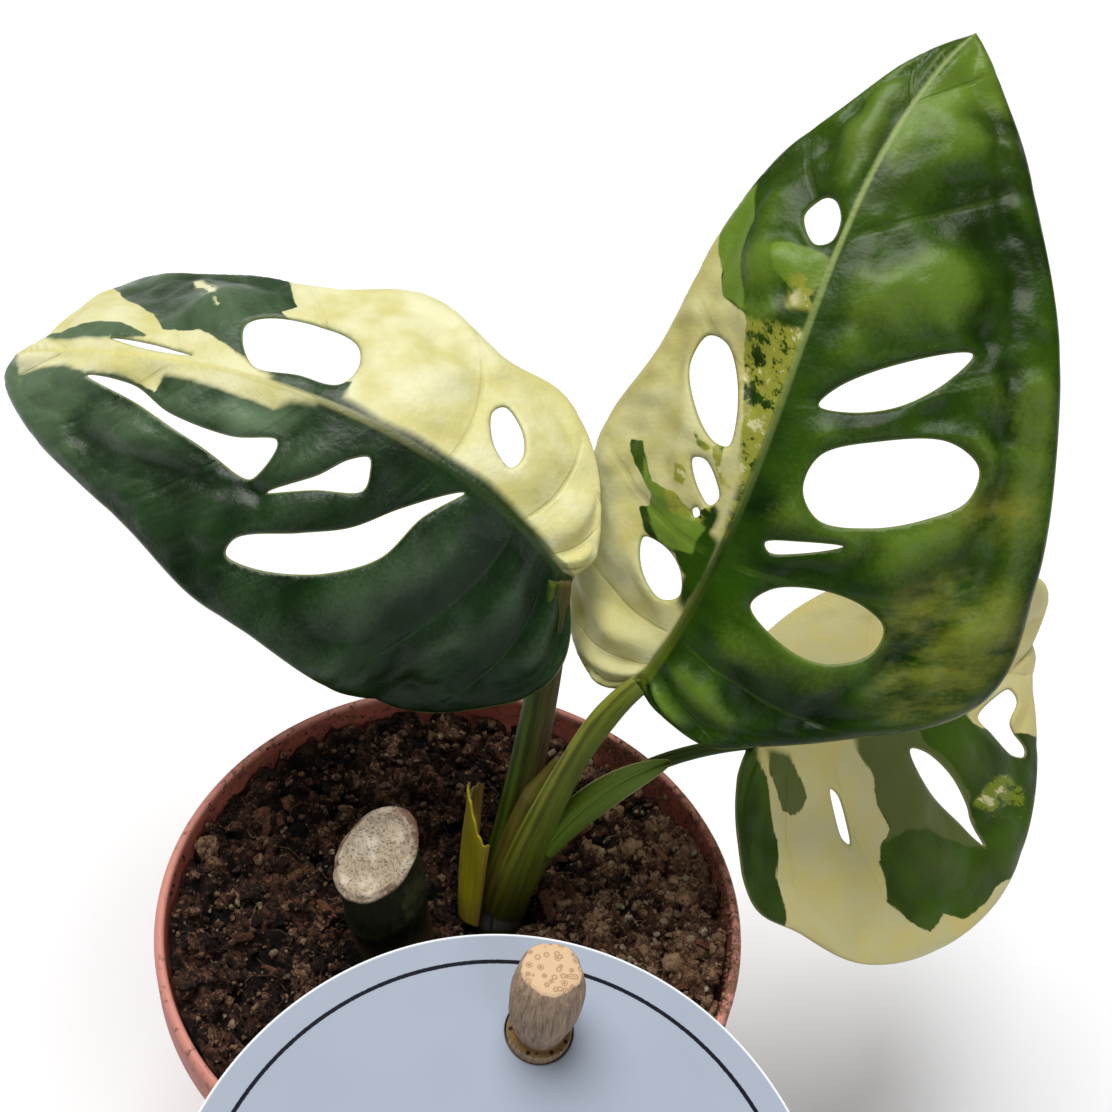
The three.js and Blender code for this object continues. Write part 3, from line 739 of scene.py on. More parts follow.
def wrap_finish(name, inner, outer, edge, tip):
    """Thin wrapped leaf: side gives the edge colour, share the change of colour towards its tip."""
    finish = Finish(name, Specular_IOR_Level=0.4)
    share, side, _ = finish.split(finish.attribute("wrap"))
    lines = finish.cloud(finish.combine(side * 9, share * 0.9, 0), 1.0, 4, 0.7)
    blotch = finish.cloud(finish.combine(side * 2, share * 3, 0), 0.8, 4, 0.6)
    body = finish.mix(lines.step(0.35, 0.7) * 0.7, inner, outer)
    torn = share + (blotch - 0.5) * 0.4 - side * 0.45
    tipped = finish.mix(torn.step(0.95, 1.1) * 0.9, body, tip)
    low = (share + (blotch - 0.5) * 0.3).step(0.25, 0)
    tipped = finish.mix(low * 0.6, tipped, tip)
    return finish.paint(
        Base_Color=finish.mix(abs(side).step(0.86, 0.97) * 0.8, tipped, edge),
        Roughness=0.42 + blotch * 0.25,
        Normal=finish.bump(lines, 0.25, 0.6),
    )


def card_finish(tag, centre, up):
    """Coated card: faint grey specks, one printed ring line on its upper face, bright cut edge."""
    finish = Finish("card", Specular_IOR_Level=0.12)
    place = finish.place()
    off = finish.vector("SUBTRACT", place, tuple(centre))
    radius = finish.vector("LENGTH", finish.vector("CROSS_PRODUCT", off, tuple(up)), output="Value")
    height = finish.vector("DOT_PRODUCT", off, tuple(up), output="Value")
    thickness = tag.thickness / MM
    upper = height.step(thickness * 0.8, thickness * 0.97)
    ragged = (finish.cloud(place, 0.35, 3, 0.7) - 0.5) * 0.22
    half = tag.line / MM / 2
    line = (abs(radius + ragged - tag.ring / MM)).step(half + 0.06, half - 0.06) * upper
    specks = (finish.cloud(place, 0.9, 4, 0.8)).step(0.72, 0.76)
    cloudy = finish.cloud(place, 14.0, 3)
    face = finish.mix(cloudy * 0.2, tag.card, srgb(196, 206, 222))
    face = finish.mix(specks * 0.35, face, srgb(120, 126, 138))
    edge = (radius - tag.radius / MM).step(-0.5, -0.15)
    return finish.paint(
        Base_Color=finish.mix(line, finish.mix(edge, face, srgb(240, 243, 247)), tag.ink),
        Roughness=0.5 + finish.cloud(place, 0.3, 4, 0.7) * 0.25,
        Normal=finish.bump(finish.cloud(place, 0.25, 4, 0.7), 0.05, 0.35),
    )


def wood_finish(tag):
    """Cane wood: long grey-brown fibres on the side, round pores in pale end grain on the cuts."""
    finish = Finish("raw wood", Specular_IOR_Level=0.25)
    place = finish.place()
    grain_share = finish.number("end")
    collar = finish.number("collar")
    fibre = finish.cloud(finish.scaled(place, (1, 1, 0.09)), 0.42, 5, 0.7)
    flecks = finish.cloud(finish.scaled(place, (1, 1, 0.3)), 0.7, 4, 0.7)
    side = finish.ramp(
        fibre, (0.3, srgb(124, 100, 82)), (0.46, tag.wood),
        (0.62, srgb(186, 160, 134)), (0.78, srgb(206, 184, 156)),
    )
    side = finish.mix(flecks.step(0.54, 0.7) * 0.6, side, srgb(108, 82, 64))
    distance = finish.cells(finish.scaled(place, (1, 1, 0.1)), 1.1)
    ring = distance.step(0.2, 0.3) * distance.step(0.48, 0.36)
    pore = distance.step(0.14, 0.06)
    ends = finish.mix(ring * 0.7, tag.grain, srgb(160, 116, 90))
    ends = finish.mix(pore * 0.8, ends, srgb(110, 76, 52))
    brown = finish.mix(distance.step(0.16, 0.42), srgb(48, 28, 12), srgb(134, 104, 62))
    faces = finish.mix(collar, ends, brown)
    return finish.paint(
        Base_Color=finish.mix(grain_share.step(0.4, 0.6), side, faces),
        Roughness=0.6 + fibre * 0.3,
        Normal=finish.bump(fibre * 0.5 - pore * grain_share, 0.35, 0.8),
    )


def leaf_finish(name, look):
    """Variegated blade, painted on its flat plan.

    The attribute paint holds how deep a point lies in the cream, the pale green and the mottled
    patches; noise drawn out along the side veins breaks up their edges. Side veins lie where the
    fan's share is a whole number of eighths, and relief is the height above the bent plan in mm.
    The green also carries painted light: a pale sheen towards the tip and on the tops of the relief,
    and painted shade in its hollows, where the cream turns warmer.
    """
    finish = Finish(name, IOR=1.45, Specular_IOR_Level=look["gloss"])
    flat = finish.attribute("flat")
    along, across, under = finish.split(flat)
    down, out, edge = finish.split(finish.attribute("fan"))
    cream_depth, pale_depth, mottle_depth = finish.split(finish.attribute("paint"))
    half = finish.math("SIGN", across)
    streak = finish.cloud(finish.combine(down * 100, out * 5, half * 7), 1.6, 4, 0.6)
    speck = finish.cloud(flat, 0.8, 5, 0.7)
    broad = finish.cloud(flat, 13.0, 2)
    ragged = ((streak - 0.5) * 3.4 + (speck - 0.5) * 0.7) * (abs(across).step(0.5, 5) * 0.8 + 0.2)
    crisp = (half * look["crisp_half"]).step(-0.5, 0.5)

    sectors = finish.cloud(finish.combine(down * 22, out * 1.4, half * 3), 1.0, 3, 0.6)
    green = finish.mix(broad.step(0.3, 0.7), look["dark"], look["green"])
    green = finish.mix(sectors.step(0.5, 0.6) * 0.4, green, look["green"])
    relief = finish.number("relief") + (speck - 0.5) * 1.2
    # Painted sheen: towards the tip the green turns pale, standing for the sky's reflection on the
    # upturned tip.
    green = finish.mix((down + (streak - 0.5) * 0.3).step(0.5, 0.95) * look["tip"], green, look["pale"])
    # Painted light: the green turns pale on the tops of the relief.
    green = finish.mix(relief.step(0.3, 1.9) * look["crest_light"], green, look["pale"])
    # Painted shade: the green turns dark in the hollows of the relief.
    green = finish.mix(relief.step(0.2, -0.9) * 0.7, green, look["dark"])
    pale = ((pale_depth + ragged * 0.6) / (2.4 - crisp * 2.1)).step(-1, 1)
    green = finish.mix(pale * 0.8, green, look["pale"])

    off_vein = abs(finish.math("FRACT", down * 8 + 0.5) - 0.5)
    vein = off_vein.step(0.04, 0.01) * out.step(0.98, 0.6) * out.step(0.02, 0.1)
    green = finish.mix(vein * look["veins"], green, look["vein"])

    mottling = finish.cloud(finish.combine(down * 60, out * 6, half), 1.1, 5, 0.7)
    in_mottle = ((mottle_depth + ragged * 0.7) / (3.0 - crisp * 2.4)).step(-1, 1)
    spread = 0.2 - crisp * 0.17
    flecks = ((mottling + crisp * 0.02 + relief * 0.05 - 0.5) / spread).step(-1, 1)
    green = finish.mix(in_mottle * flecks * (0.55 + crisp * 0.35), green, look["mottle"])
    white = ((mottling - look["flecks"]) / 0.03).step(-1, 1)
    green = finish.mix(in_mottle * white * crisp, green, look["cream"])

    warm = finish.mix(finish.cloud(flat, 9.0, 3).step(0.35, 0.7), look["cream"], look["warm"])
    warm = finish.mix(vein * 0.2, warm, look["warm"])
    # Painted shade: the cream turns warmer and darker in the hollows of the relief.
    warm = finish.mix(relief.step(0.3, -0.6) * 0.5, warm, look["warm"])
    edge_width = abs(across).step(5, 0.5) * 0.9 + 0.14
    cream = ((cream_depth + ragged * 0.5) / edge_width).step(-1, 1)
    surface = finish.mix(cream, green, warm)

    rib = (abs(across) + down * 0.9).step(1.3, 0.8)
    along_rib = finish.ramp(
        down, (0.0, look["rib"]), (0.3, look["rib"]), (0.5, look["rib_middle"]), (0.75, look["rib_tip"])
    )
    surface = finish.mix(rib * look["rib_share"], surface, along_rib)
    surface = finish.mix(edge.step(0.35, 0.08) * 0.5, surface, look["edge"])
    underside = finish.mix(0.45, surface, look["under"])

    net = finish.cells(finish.scaled(flat, (1, 1, 0)), 2.6, "SMOOTH_F1")
    pebbles = finish.cells(finish.scaled(flat, (1, 1, 0)), 0.7, "SMOOTH_F1")
    height = 1 - net * 0.5 - pebbles * 0.15 + speck * 0.3 + streak * 0.2 - vein * 0.3
    return finish.paint(
        Base_Color=finish.mix(under.step(0.4, 0.6), surface, underside),
        Roughness=look["rough"] + (speck - 0.5) * 0.3 + cream * 0.12 + under * 0.18,
        Normal=finish.bump(height, 0.35, look["bump"]),
    )


# Leaf blades. Flat, along runs down the midrib from the stalk and across runs out from it, in mm.
# A row of veins is a side vein: its share of the midrib, then for the left and for the right half the
# angle at its end on the margin, in degrees, and its straight length. Holes and patches are outlines
# in (along, across) of one half. A patch is cream, an island of green in the cream, pale or mottled.

# In each look, the tip share paints a sheen towards the tip and the crests share paints light on the tops
# of the relief, both in the pale colour.
BLADES = {
    "leaf_left": {
        "midrib": [(10.5, 25, 130), (-12.5, 32.5, 154), (-51, 45.5, 147.5), (-78, 54.5, 134)],
        "up": [(0, -0.45, 0.9), (0, -0.3, 0.95)],
        "fold": {LEFT: (-18, -18), RIGHT: (-4, -15)},
        "bend": {LEFT: -0.6, RIGHT: -0.7},
        "sweep": {LEFT: 30, RIGHT: 30},
        "pillows": 1.7,
        "bumps": 0.5,
        "creases": {
            LEFT: [
                [(84, 13), (68, 15.5), (56, 16.5), (46.5, 15.5), (36, 11.5)],
                [(88.5, 5.5), (76, 7), (63.5, 11.5), (54, 13.5), (47, 15.5)],
            ],
        },
        "veins": [
            (0, 160, 3, 150, 2), (0.005, 146, 14, 135, 4), (0.01, 132, 20.5, 122, 6),
            (0.02, 118, 26, 110, 8), (0.04, 102, 34, 99, 12), (0.07, 88, 36.5, 90, 18),
            (0.12, 74, 38.5, 81, 24), (0.19, 60, 41, 73, 24), (0.28, 49, 43.5, 65, 31.5),
            (0.4, 40, 40.5, 57, 27.5), (0.52, 34, 36.5, 49, 34), (0.65, 30, 30, 41, 42.5),
            (0.77, 26, 22, 33, 27), (0.88, 22, 13.5, 25, 9.5), (0.95, 19, 7, 19, 3.5),
            (1, 15, 0.3, 13, 0.3),
        ],
        "holes": {
            LEFT: [
                [
                    (82.5, 4), (74.5, 4.5), (65.5, 8), (55, 9), (47.5, 7.5), (47, 9), (49.5, 14),
                    (61.5, 11), (72, 7.5),
                ],
                [(46, 15), (39, 10), (35.5, 6), (33, 4.5), (32, 6), (31.5, 9), (38.5, 12)],
                [
                    (18.5, 1.6), (25, 8.5), (30.5, 14.5), (38, 18.5), (49, 23), (50, 25.5), (43.5, 26),
                    (31.5, 22.5), (23.5, 16), (21.5, 8),
                ],
            ],
            RIGHT: [
                [
                    (61, 9.5), (58, 12.5), (51.5, 14), (44, 12), (41.5, 7.5), (42.5, 4), (48.5, 3),
                    (55.5, 2),
                ],
                [(22, 12), (21, 14), (17, 11.5), (15, 8), (15.5, 5.5), (19, 7)],
                [(81.5, 2.8), (74, 2.9), (66, 1.7), (74, 1.5)],
            ],
        },
        "cream": {
            LEFT: [[
                (99, -1), (97, 3.5), (93.5, 3), (87.5, 2.5), (82.5, 3.5), (75.5, 3.5), (69.5, 5.5),
                (69, 2.5), (63, 2.5), (57.5, 3), (49.5, 3.5), (47.5, 1.5), (44, 0.5), (44, -1),
            ]],
            RIGHT: [
                [
                    (63, 27), (62.5, 24), (60, 21), (56.5, 16.5), (57.5, 14), (50, 10), (48, 4),
                    (44.5, 4), (41, 5), (40.5, 2), (34, 1), (28, 1.5), (17, 1.8), (7.5, 1.2), (0, 0),
                    (-12, -2), (-12, 40), (55, 45),
                ],
                [
                    (101, -1), (98, 12), (97, 22), (88, 15.5), (79, 10.5), (74, 6), (68, 7), (63, 5),
                    (57.5, 3), (52, 1.2), (52, -1),
                ],
            ],
        },
        "islands": {
            RIGHT: [[(96, 3), (92, 5), (87, 6.5), (81.5, 6.5), (74.5, 4), (81, 2.5), (88.5, 2.5)]],
        },
        "pale": {LEFT: [[(59, 6), (54.5, 3.5), (48, 3), (46.5, 4), (49, 7), (54, 8.5)]]},
        "mottle": {
            RIGHT: [
                [(80, 22), (78, 22.5), (73.5, 19.5), (71, 16.5), (72.5, 15.5), (76.5, 18.5)],
                [(70, 14.5), (68.5, 14.5), (66, 11.5), (67.5, 11.5)],
            ],
        },
        "look": {
            "dark": srgb(6, 26, 0), "green": srgb(26, 54, 18), "pale": srgb(114, 138, 104),
            "vein": srgb(60, 92, 54), "mottle": srgb(70, 92, 54), "cream": srgb(220, 217, 172),
            "warm": srgb(202, 195, 124), "rib": srgb(48, 66, 14), "rib_middle": srgb(44, 62, 22),
            "rib_tip": srgb(214, 206, 124), "edge": srgb(150, 160, 96), "under": srgb(120, 140, 96),
            "rib_share": 0.6, "rough": 0.33, "bump": 0.9, "gloss": 0.34, "tip": 0.6,
            "crisp_half": RIGHT, "crest_light": 0.3, "veins": 0.12, "flecks": 0.53,
        },
    },
    "leaf_right": {
        "midrib": [(24, 15, 120), (41, 26, 150.5), (37, 56.5, 178), (60, 82, 191.5)],
        "up": [(-0.1, -0.7, 0.7), (-0.1, -0.7, 0.7)],
        "fold": {LEFT: (-26, -22), RIGHT: (3, 3)},
        "bend": {LEFT: -0.8, RIGHT: -0.45},
        "sweep": {LEFT: 28, RIGHT: 14},
        "pillows": 2.3,
        "bumps": 0.9,
        "creases": {RIGHT: [[(10, 22), (30, 36), (52, 30), (76, 24), (92, 14)]]},
        "veins": [
            (0, 155, 3, 158, 1.5), (0.005, 142, 8, 138, 3.5), (0.01, 128, 12, 118, 7),
            (0.02, 112, 18.5, 106, 13.5), (0.04, 99, 24, 96, 19), (0.07, 88, 26, 89, 28),
            (0.12, 77, 28.5, 82, 43.5), (0.2, 68, 32, 75, 44), (0.32, 59, 28.5, 67, 41.5),
            (0.45, 52, 27.5, 58, 38.5), (0.58, 44, 23.5, 49, 33.5), (0.71, 36, 15.5, 40, 26.5),
            (0.83, 28, 10, 30, 16.5), (0.93, 21, 5, 21, 7), (1, 15, 0.3, 12, 0.3),
        ],
        "holes": {
            LEFT: [
                [(71.5, 7), (74.5, 5.5), (74.5, 3.5), (72, 1.5), (68.5, 1.5), (67.5, 3.5)],
                [
                    (51.5, 16), (51, 12), (47, 8.5), (40.5, 5.5), (36.5, 5), (36.5, 7.5), (41, 13),
                    (47, 17),
                ],
                [(33, 9.5), (33.5, 7.5), (31.5, 5), (29, 3.5), (27.5, 4.5), (29.5, 7.5)],
                [(25.8, 7), (26.5, 6.2), (25.6, 5.4), (24.8, 6.2)],
                [(18, 12.5), (18.5, 8), (16.5, 4), (13.5, 2.5), (11.5, 5), (13.5, 9.5)],
            ],
            RIGHT: [
                [(46, 5), (49, 6.5), (55, 13.5), (60, 22.5), (55, 20.5), (49.5, 15.5), (46.5, 9.5)],
                [
                    (39.5, 7.5), (44, 14.5), (47, 23.5), (45, 28.5), (40.5, 28.5), (36.5, 24),
                    (33, 17.5), (31.5, 10.5), (34.5, 7),
                ],
                [(26, 5), (28, 9.5), (29.5, 15), (26.5, 10), (25, 6)],
                [
                    (17.5, 7), (20.5, 8.5), (23, 14), (23.5, 21), (22, 25), (19, 25), (15.5, 20),
                    (15, 14),
                ],
            ],
        },
        "cream": {
            LEFT: [
                [
                    (69.5, 30), (69.5, 22), (66.5, 20), (64, 19), (61.5, 17), (57.5, 15), (57, 13),
                    (56, 11), (55.5, 9.5), (54, 8.5), (51, 8.8), (47, 7), (41, 4.6), (36, 3), (33, 1.5),
                    (20, 0.4), (0, 0.6), (-15, -1), (-15, 45), (60, 45),
                ],
                [(60, 4), (60.5, 3), (58.5, 2), (58, 3), (59, 4)],
            ],
        },
        "islands": {
            LEFT: [
                [
                    (32, 23), (32.5, 19.5), (29, 16.5), (27, 14.5), (27, 10), (26, 8), (25.5, 6),
                    (27, 5), (28, 3.5), (27, 2.5), (24, 2.5), (23.5, 0.5), (17.5, 0), (12, 0.5),
                    (13, 2.5), (16.5, 3.5), (18.5, 6.5), (18, 9.5), (19, 12.5), (22, 15.5), (23, 14),
                    (25, 14), (27, 17), (28, 19.5),
                ],
                [(37.5, 11), (36, 9.5), (35.5, 7), (34.5, 7.5), (35, 9.5)],
                [(36, 7), (36.5, 5.5), (33, 4.5), (31, 2.5), (31, 4), (34, 6)],
                [(31.5, 12), (31.5, 10), (30, 9), (28.5, 9), (28.5, 11)],
            ],
        },
        "pale": {
            LEFT: [
                [
                    (72, 27), (75, 17), (70, 14.5), (64.5, 14), (60, 12), (55.5, 9.5), (57, 13),
                    (57.5, 15), (61.5, 17), (64, 19), (66.5, 20), (69.5, 22),
                ],
                [(66, 9), (67, 7), (67, 4), (66, 0.5), (63, 0), (60.5, 1), (60, 4), (62.5, 7.5)],
                [(30, 18), (27.5, 15.5), (26.5, 10), (24, 4), (20, 4), (18.5, 9), (22, 14)],
            ],
            RIGHT: [[
                (107, 0), (99.5, 1.5), (94, -1), (84, -1), (82, 2), (89, 3.5), (97.5, 7), (99.5, 11),
                (104, 6.5),
            ]],
        },
        "mottle": {
            LEFT: [
                [
                    (55, 9.5), (55, -1), (33, -1), (24, -1), (24, 2), (31, 4), (34.5, 6), (36, 9.5),
                    (37, 4.5), (41, 5.5), (47, 8.5), (51, 10),
                ],
                [(62, 5), (63, 1), (58, 0), (57.5, 4)],
                [(30, 14), (24, 10), (25, 5), (31, 2), (36, 5), (34, 12)],
            ],
            RIGHT: [
                [
                    (23, 24), (27.5, 25), (31, 28.5), (33, 34), (30.5, 41.5), (26, 43.5), (21.5, 41.5),
                    (16, 40), (13.5, 33), (15, 28), (19, 26.5),
                ],
                [(36.5, 25.5), (39.5, 27.5), (43, 32), (44.5, 38), (41, 39), (37, 33.5)],
            ],
        },
        "look": {
            "dark": srgb(10, 32, 0), "green": srgb(40, 70, 0), "pale": srgb(108, 136, 44),
            "vein": srgb(80, 106, 28), "mottle": srgb(144, 146, 54), "cream": srgb(190, 187, 136),
            "warm": srgb(180, 172, 104), "rib": srgb(84, 98, 18), "rib_middle": srgb(30, 50, 6),
            "rib_tip": srgb(140, 158, 84), "edge": srgb(120, 134, 64), "under": srgb(116, 134, 66),
            "rib_share": 0.8, "rough": 0.32, "bump": 0.8, "gloss": 0.22, "tip": 0.2, "crisp_half": LEFT,
            "crest_light": 0.6, "veins": 0.2, "flecks": 0.6,
        },
    },
    "leaf_low": {
        "midrib": [(44, 23, 100.5), (65, 32, 95.5), (84.5, 46, 85.5), (97.5, 66.5, 85.5)],
        "up": [(-0.1, -0.2, 1), (0.1, -0.2, 1)],
        "fold": {LEFT: (-58, 66), RIGHT: (-25, -25)},
        "bend": {LEFT: -0.35, RIGHT: -0.4},
        "sweep": {LEFT: 22, RIGHT: 25},
        "pillows": 1.3,
        "bumps": 0.4,
        "veins": [
            (0, 165, 3, 165, 1.5), (0.005, 148, 5, 148, 3), (0.01, 130, 8, 130, 9),
            (0.02, 115, 12, 115, 16.5), (0.04, 102, 18, 102, 26), (0.08, 90, 24, 90, 30.5),
            (0.13, 79, 29, 79, 37.5), (0.2, 69, 32, 69, 40), (0.3, 60, 33, 60, 38.5),
            (0.42, 52, 32, 52, 33), (0.56, 45, 30, 45, 25.5), (0.7, 39, 26, 39, 17),
            (0.83, 33, 19, 33, 8.5), (0.93, 26, 11, 26, 4), (1, 15, 0.3, 15, 0.3),
        ],
        "holes": {
            LEFT: [
                [(17, 6.5), (22, 8.5), (26.5, 13.5), (24, 14), (19, 10.5)],
                [(41, 6), (47, 9), (52, 14.5), (48, 14.5), (42.5, 10)],
            ],
            RIGHT: [
                [(12.5, 8.5), (14, 9.5), (15, 14), (15, 17.5), (13.5, 16.5), (12.5, 12)],
                [
                    (31, 4.5), (34, 5.5), (38, 10.5), (40, 16.5), (40, 18.5), (41, 23.5), (37.5, 18.5),
                    (33, 12),
                ],
                [
                    (59.5, 2.5), (60, 5), (56.5, 7.5), (57.5, 13), (56.5, 14), (54, 12.5), (51.5, 7.5),
                    (49.5, 3.5),
                ],
            ],
        },
        "cream": {
            LEFT: [[(-15, -1), (-15, 45), (80, 45), (80, -1)]],
            RIGHT: [
                [
                    (-0.5, -2), (-0.5, 2.5), (0, 5.5), (0.5, 11), (1.5, 15.5), (1.5, 21), (3, 26.5),
                    (3, 50), (60, 50), (51.5, 27), (46, 30.5), (42, 30.5), (38.5, 32.5), (34, 33.5),
                    (30.5, 31.5), (27.5, 34), (23.5, 31), (21, 27.5), (21, 24), (20, 21), (20.5, 18.5),
                    (22.5, 16), (20.5, 12), (20.5, 7.5), (19, 3), (19, -2),
                ],
                [
                    (47, 4), (50.5, 6), (54.5, 8.5), (58.5, 10.5), (61.5, 13), (75, 16), (75, -2),
                    (46, -2),
                ],
            ],
        },
        "islands": {
            RIGHT: [[
                (1.5, 1.5), (5.5, 2.5), (6.5, 5.5), (7.5, 9.5), (5.5, 12), (3, 11), (2, 8.5), (1, 5),
            ]],
        },
        "pale": {
            RIGHT: [
                [(1, 0), (5.5, 2), (7, 5.5), (8, 9.5), (5.5, 12.5), (2, 11.5), (1, 8.5), (0.6, 5)],
                [
                    (19, -2), (19, 3), (20.5, 7.5), (20.5, 12), (22.5, 16), (20, 18.5), (25, 17),
                    (29.5, 17), (32.5, 19.5), (35.5, 21), (41, 24), (41.5, 24), (40, 18), (40.5, 14.5),
                    (38, 8.5), (34, 3.5), (34, -2),
                ],
            ],
        },
        "mottle": {RIGHT: [[(45.5, 13.5), (50.5, 15), (53, 19), (50.5, 22.5), (45.5, 20), (41, 16.5)]]},
        "look": {
            "dark": srgb(42, 60, 14), "green": srgb(62, 90, 14), "pale": srgb(100, 108, 58),
            "vein": srgb(84, 98, 40), "mottle": srgb(122, 138, 26), "cream": srgb(206, 199, 150),
            "warm": srgb(212, 198, 126), "rib": srgb(72, 84, 24), "rib_middle": srgb(72, 84, 24),
            "rib_tip": srgb(180, 172, 104), "edge": srgb(160, 156, 96), "under": srgb(130, 136, 86),
            "rib_share": 0.6, "rough": 0.42, "bump": 0.8, "gloss": 0.2, "tip": 0, "crisp_half": RIGHT,
            "crest_light": 0.4, "veins": 0.15, "flecks": 0.6,
        },
    },
}
VEIN_PAIRS = 8
LONGEST_VEIN = 44
WAVES = 2.5
WAVE_HEIGHT = 0.9
CREASE = 0.6
RIB_REACH = 1.7
FAR_OUTSIDE = -9.0


class Blade:
    """A leaf blade: a flat plan that is bent along its midrib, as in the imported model."""

    def __init__(self, facts, leaf):
        self.facts = facts
        self.thickness = leaf.blade / MM
        self.rib = leaf.rib / MM
        self.pucker = leaf.pucker / MM
        self.shares = np.linspace(0, 1, 401)
        places, _ = bezier(facts["midrib"], self.shares)
        steps = np.linalg.norm(np.diff(places, axis=0), axis=1)
        self.lengths = np.concatenate([[0], np.cumsum(steps)])
        self.length = self.lengths[-1]

    def frames(self, along):
        """Places on the midrib, straight on beyond its ends, with the directions to the left and up."""
        on = np.clip(along, 0, self.length)
        places, ahead = bezier(self.facts["midrib"], np.interp(on, self.lengths, self.shares))
        share = (on / self.length)[:, None]
        base, tip = np.array(self.facts["up"], float)
        left = unit(np.cross(base * (1 - share) + tip * share, ahead))
        return places + (along - on)[:, None] * ahead, left, np.cross(ahead, left)

    def bent(self, side, along, across, lift):
        """Where a flat point lands: each cross-line starts at the fold's slope and curls on as an arc."""
        places, left, up = self.frames(along)
        base, tip = np.radians(self.facts["fold"][side])
        start = base + (tip - base) * np.clip(along / self.length, 0, 1)
        curl = math.radians(self.facts["bend"][side])
        slope = start + curl * across
        sideways = (np.sin(slope) - np.sin(start)) / curl - lift * np.sin(slope)
        raised = (np.cos(start) - np.cos(slope)) / curl + lift * np.cos(slope)
        return places + side * sideways[:, None] * left + raised[:, None] * up

    def fan(self, side, down, out):
        """The flat point at a share down the fan of side veins and a share out along its vein."""
        share, angle_left, reach_left, angle_right, reach_right = through(self.facts["veins"], down).T
        end = np.radians(angle_left if side == LEFT else angle_right)
        reach = out * (reach_left if side == LEFT else reach_right)
        angle = end + math.radians(self.facts["sweep"][side]) * np.sin(end) * (1 - out)
        return np.stack([share * self.length + reach * np.cos(angle), reach * np.sin(angle)], 1)

    def unfan(self, side, targets, down, out):
        """The shares whose flat points are the targets: six Newton steps from a first guess."""
        small = 1e-4
        for _ in range(6):
            here = self.fan(side, down, out)
            per_down = (self.fan(side, down + small, out) - here) / small
            per_out = (self.fan(side, down, out + small) - here) / small
            miss = targets - here
            scale = per_down[:, 0] * per_out[:, 1] - per_down[:, 1] * per_out[:, 0]
            scale = np.where(np.abs(scale) < 1e-6, 1e-6, scale)
            change = (miss[:, 0] * per_out[:, 1] - miss[:, 1] * per_out[:, 0]) / scale
            down = np.clip(down + np.clip(change, -0.05, 0.05), 0, 1 - 2 * small)
            change = (per_down[:, 0] * miss[:, 1] - per_down[:, 1] * miss[:, 0]) / scale
            out = np.clip(out + np.clip(change, -0.1, 0.1), 0, 1)
        return down, out

    def relief(self, side, down, out, flat, edge):
        """Height above the bent plan.

        Between the side veins lie pillows, sin² of the fan times a parabola outwards, up to a loop that
        swings out between the veins; a lower pillow lies beyond it, and slow waves run down the margin.
        Grooves lie on the side veins and the creases, noise adds bumps, and all edges roll down a little.
        """
        ridge = np.sin(np.pi * VEIN_PAIRS * down) ** 2
        loop = 0.7 + 0.12 * ridge
        inner, outer = np.minimum(out / loop, 1), np.maximum(out - loop, 0) / (1 - loop)
        pillow = ridge * inner * (1 - inner) + (0.4 - 0.25 * ridge) * outer * (1 - outer)
        wave = WAVE_HEIGHT * out * out * np.sin(2 * np.pi * WAVES * down + side)
        fade = np.minimum(1, 8 * (1 - down)) * np.minimum(1, 8 * down)
        off_vein = np.abs((VEIN_PAIRS * down + 0.5) % 1 - 0.5)
        groove = 0.16 * np.exp(-((off_vein / 0.08) ** 2)) * smoothstep(0, 0.15, out)
        height = (4 * self.pucker * self.facts["pillows"] * pillow + wave - groove) * fade
        for half, lines in self.facts.get("creases", {}).items():
            for line in np.array(lines, float):
                apart = line_distance(flat * (1, half), line[:-1], line[1:])
                height -= CREASE * np.exp(-((apart / 1.5) ** 2))
        places = np.column_stack([flat @ np.array([(0.8, 0.6), (-0.6, 0.8)]), np.zeros(len(flat))])
        bumps = noise(places, 6.5, 3) + 0.5 * noise(places[:, [1, 0, 2]] * (1, -1, 1), 3.2, 5)
        bumps *= self.facts["bumps"] * smoothstep(0.02, 0.2, out) * smoothstep(0, 2.5, edge)
        return height + bumps - 0.22 * np.exp(-edge / 0.8)

    def triangles(self, spacing):
        """The flat plan as points and triangles.

        Points stand in rows along the side veins, as close as the spacing. The margin, the midrib and
        the hole edges are lines that a Delaunay triangulation keeps, and triangles outside the margin
        or in a hole are dropped. Gives the points, their shares down and out, the side of each, the
        distance to the nearest edge and the triangles.
        """
        close = 0.75 * spacing
        fine = np.linspace(0, 1, 3001)
        pace = self.length * np.diff(through(self.facts["veins"], fine)[:, 0])
        for side in (LEFT, RIGHT):
            pace = np.maximum(pace, np.linalg.norm(np.diff(self.fan(side, fine, 1.0), axis=0), axis=1))
        run = np.concatenate([[0], np.cumsum(pace)])
        down_rows = np.interp(np.linspace(0, run[-1], int(run[-1] / spacing)), run, fine)
        out_rows = np.linspace(0, 1, int(LONGEST_VEIN / spacing))[1:-1]
        down, out = (grid.ravel() for grid in np.meshgrid(down_rows, out_rows, indexing="ij"))

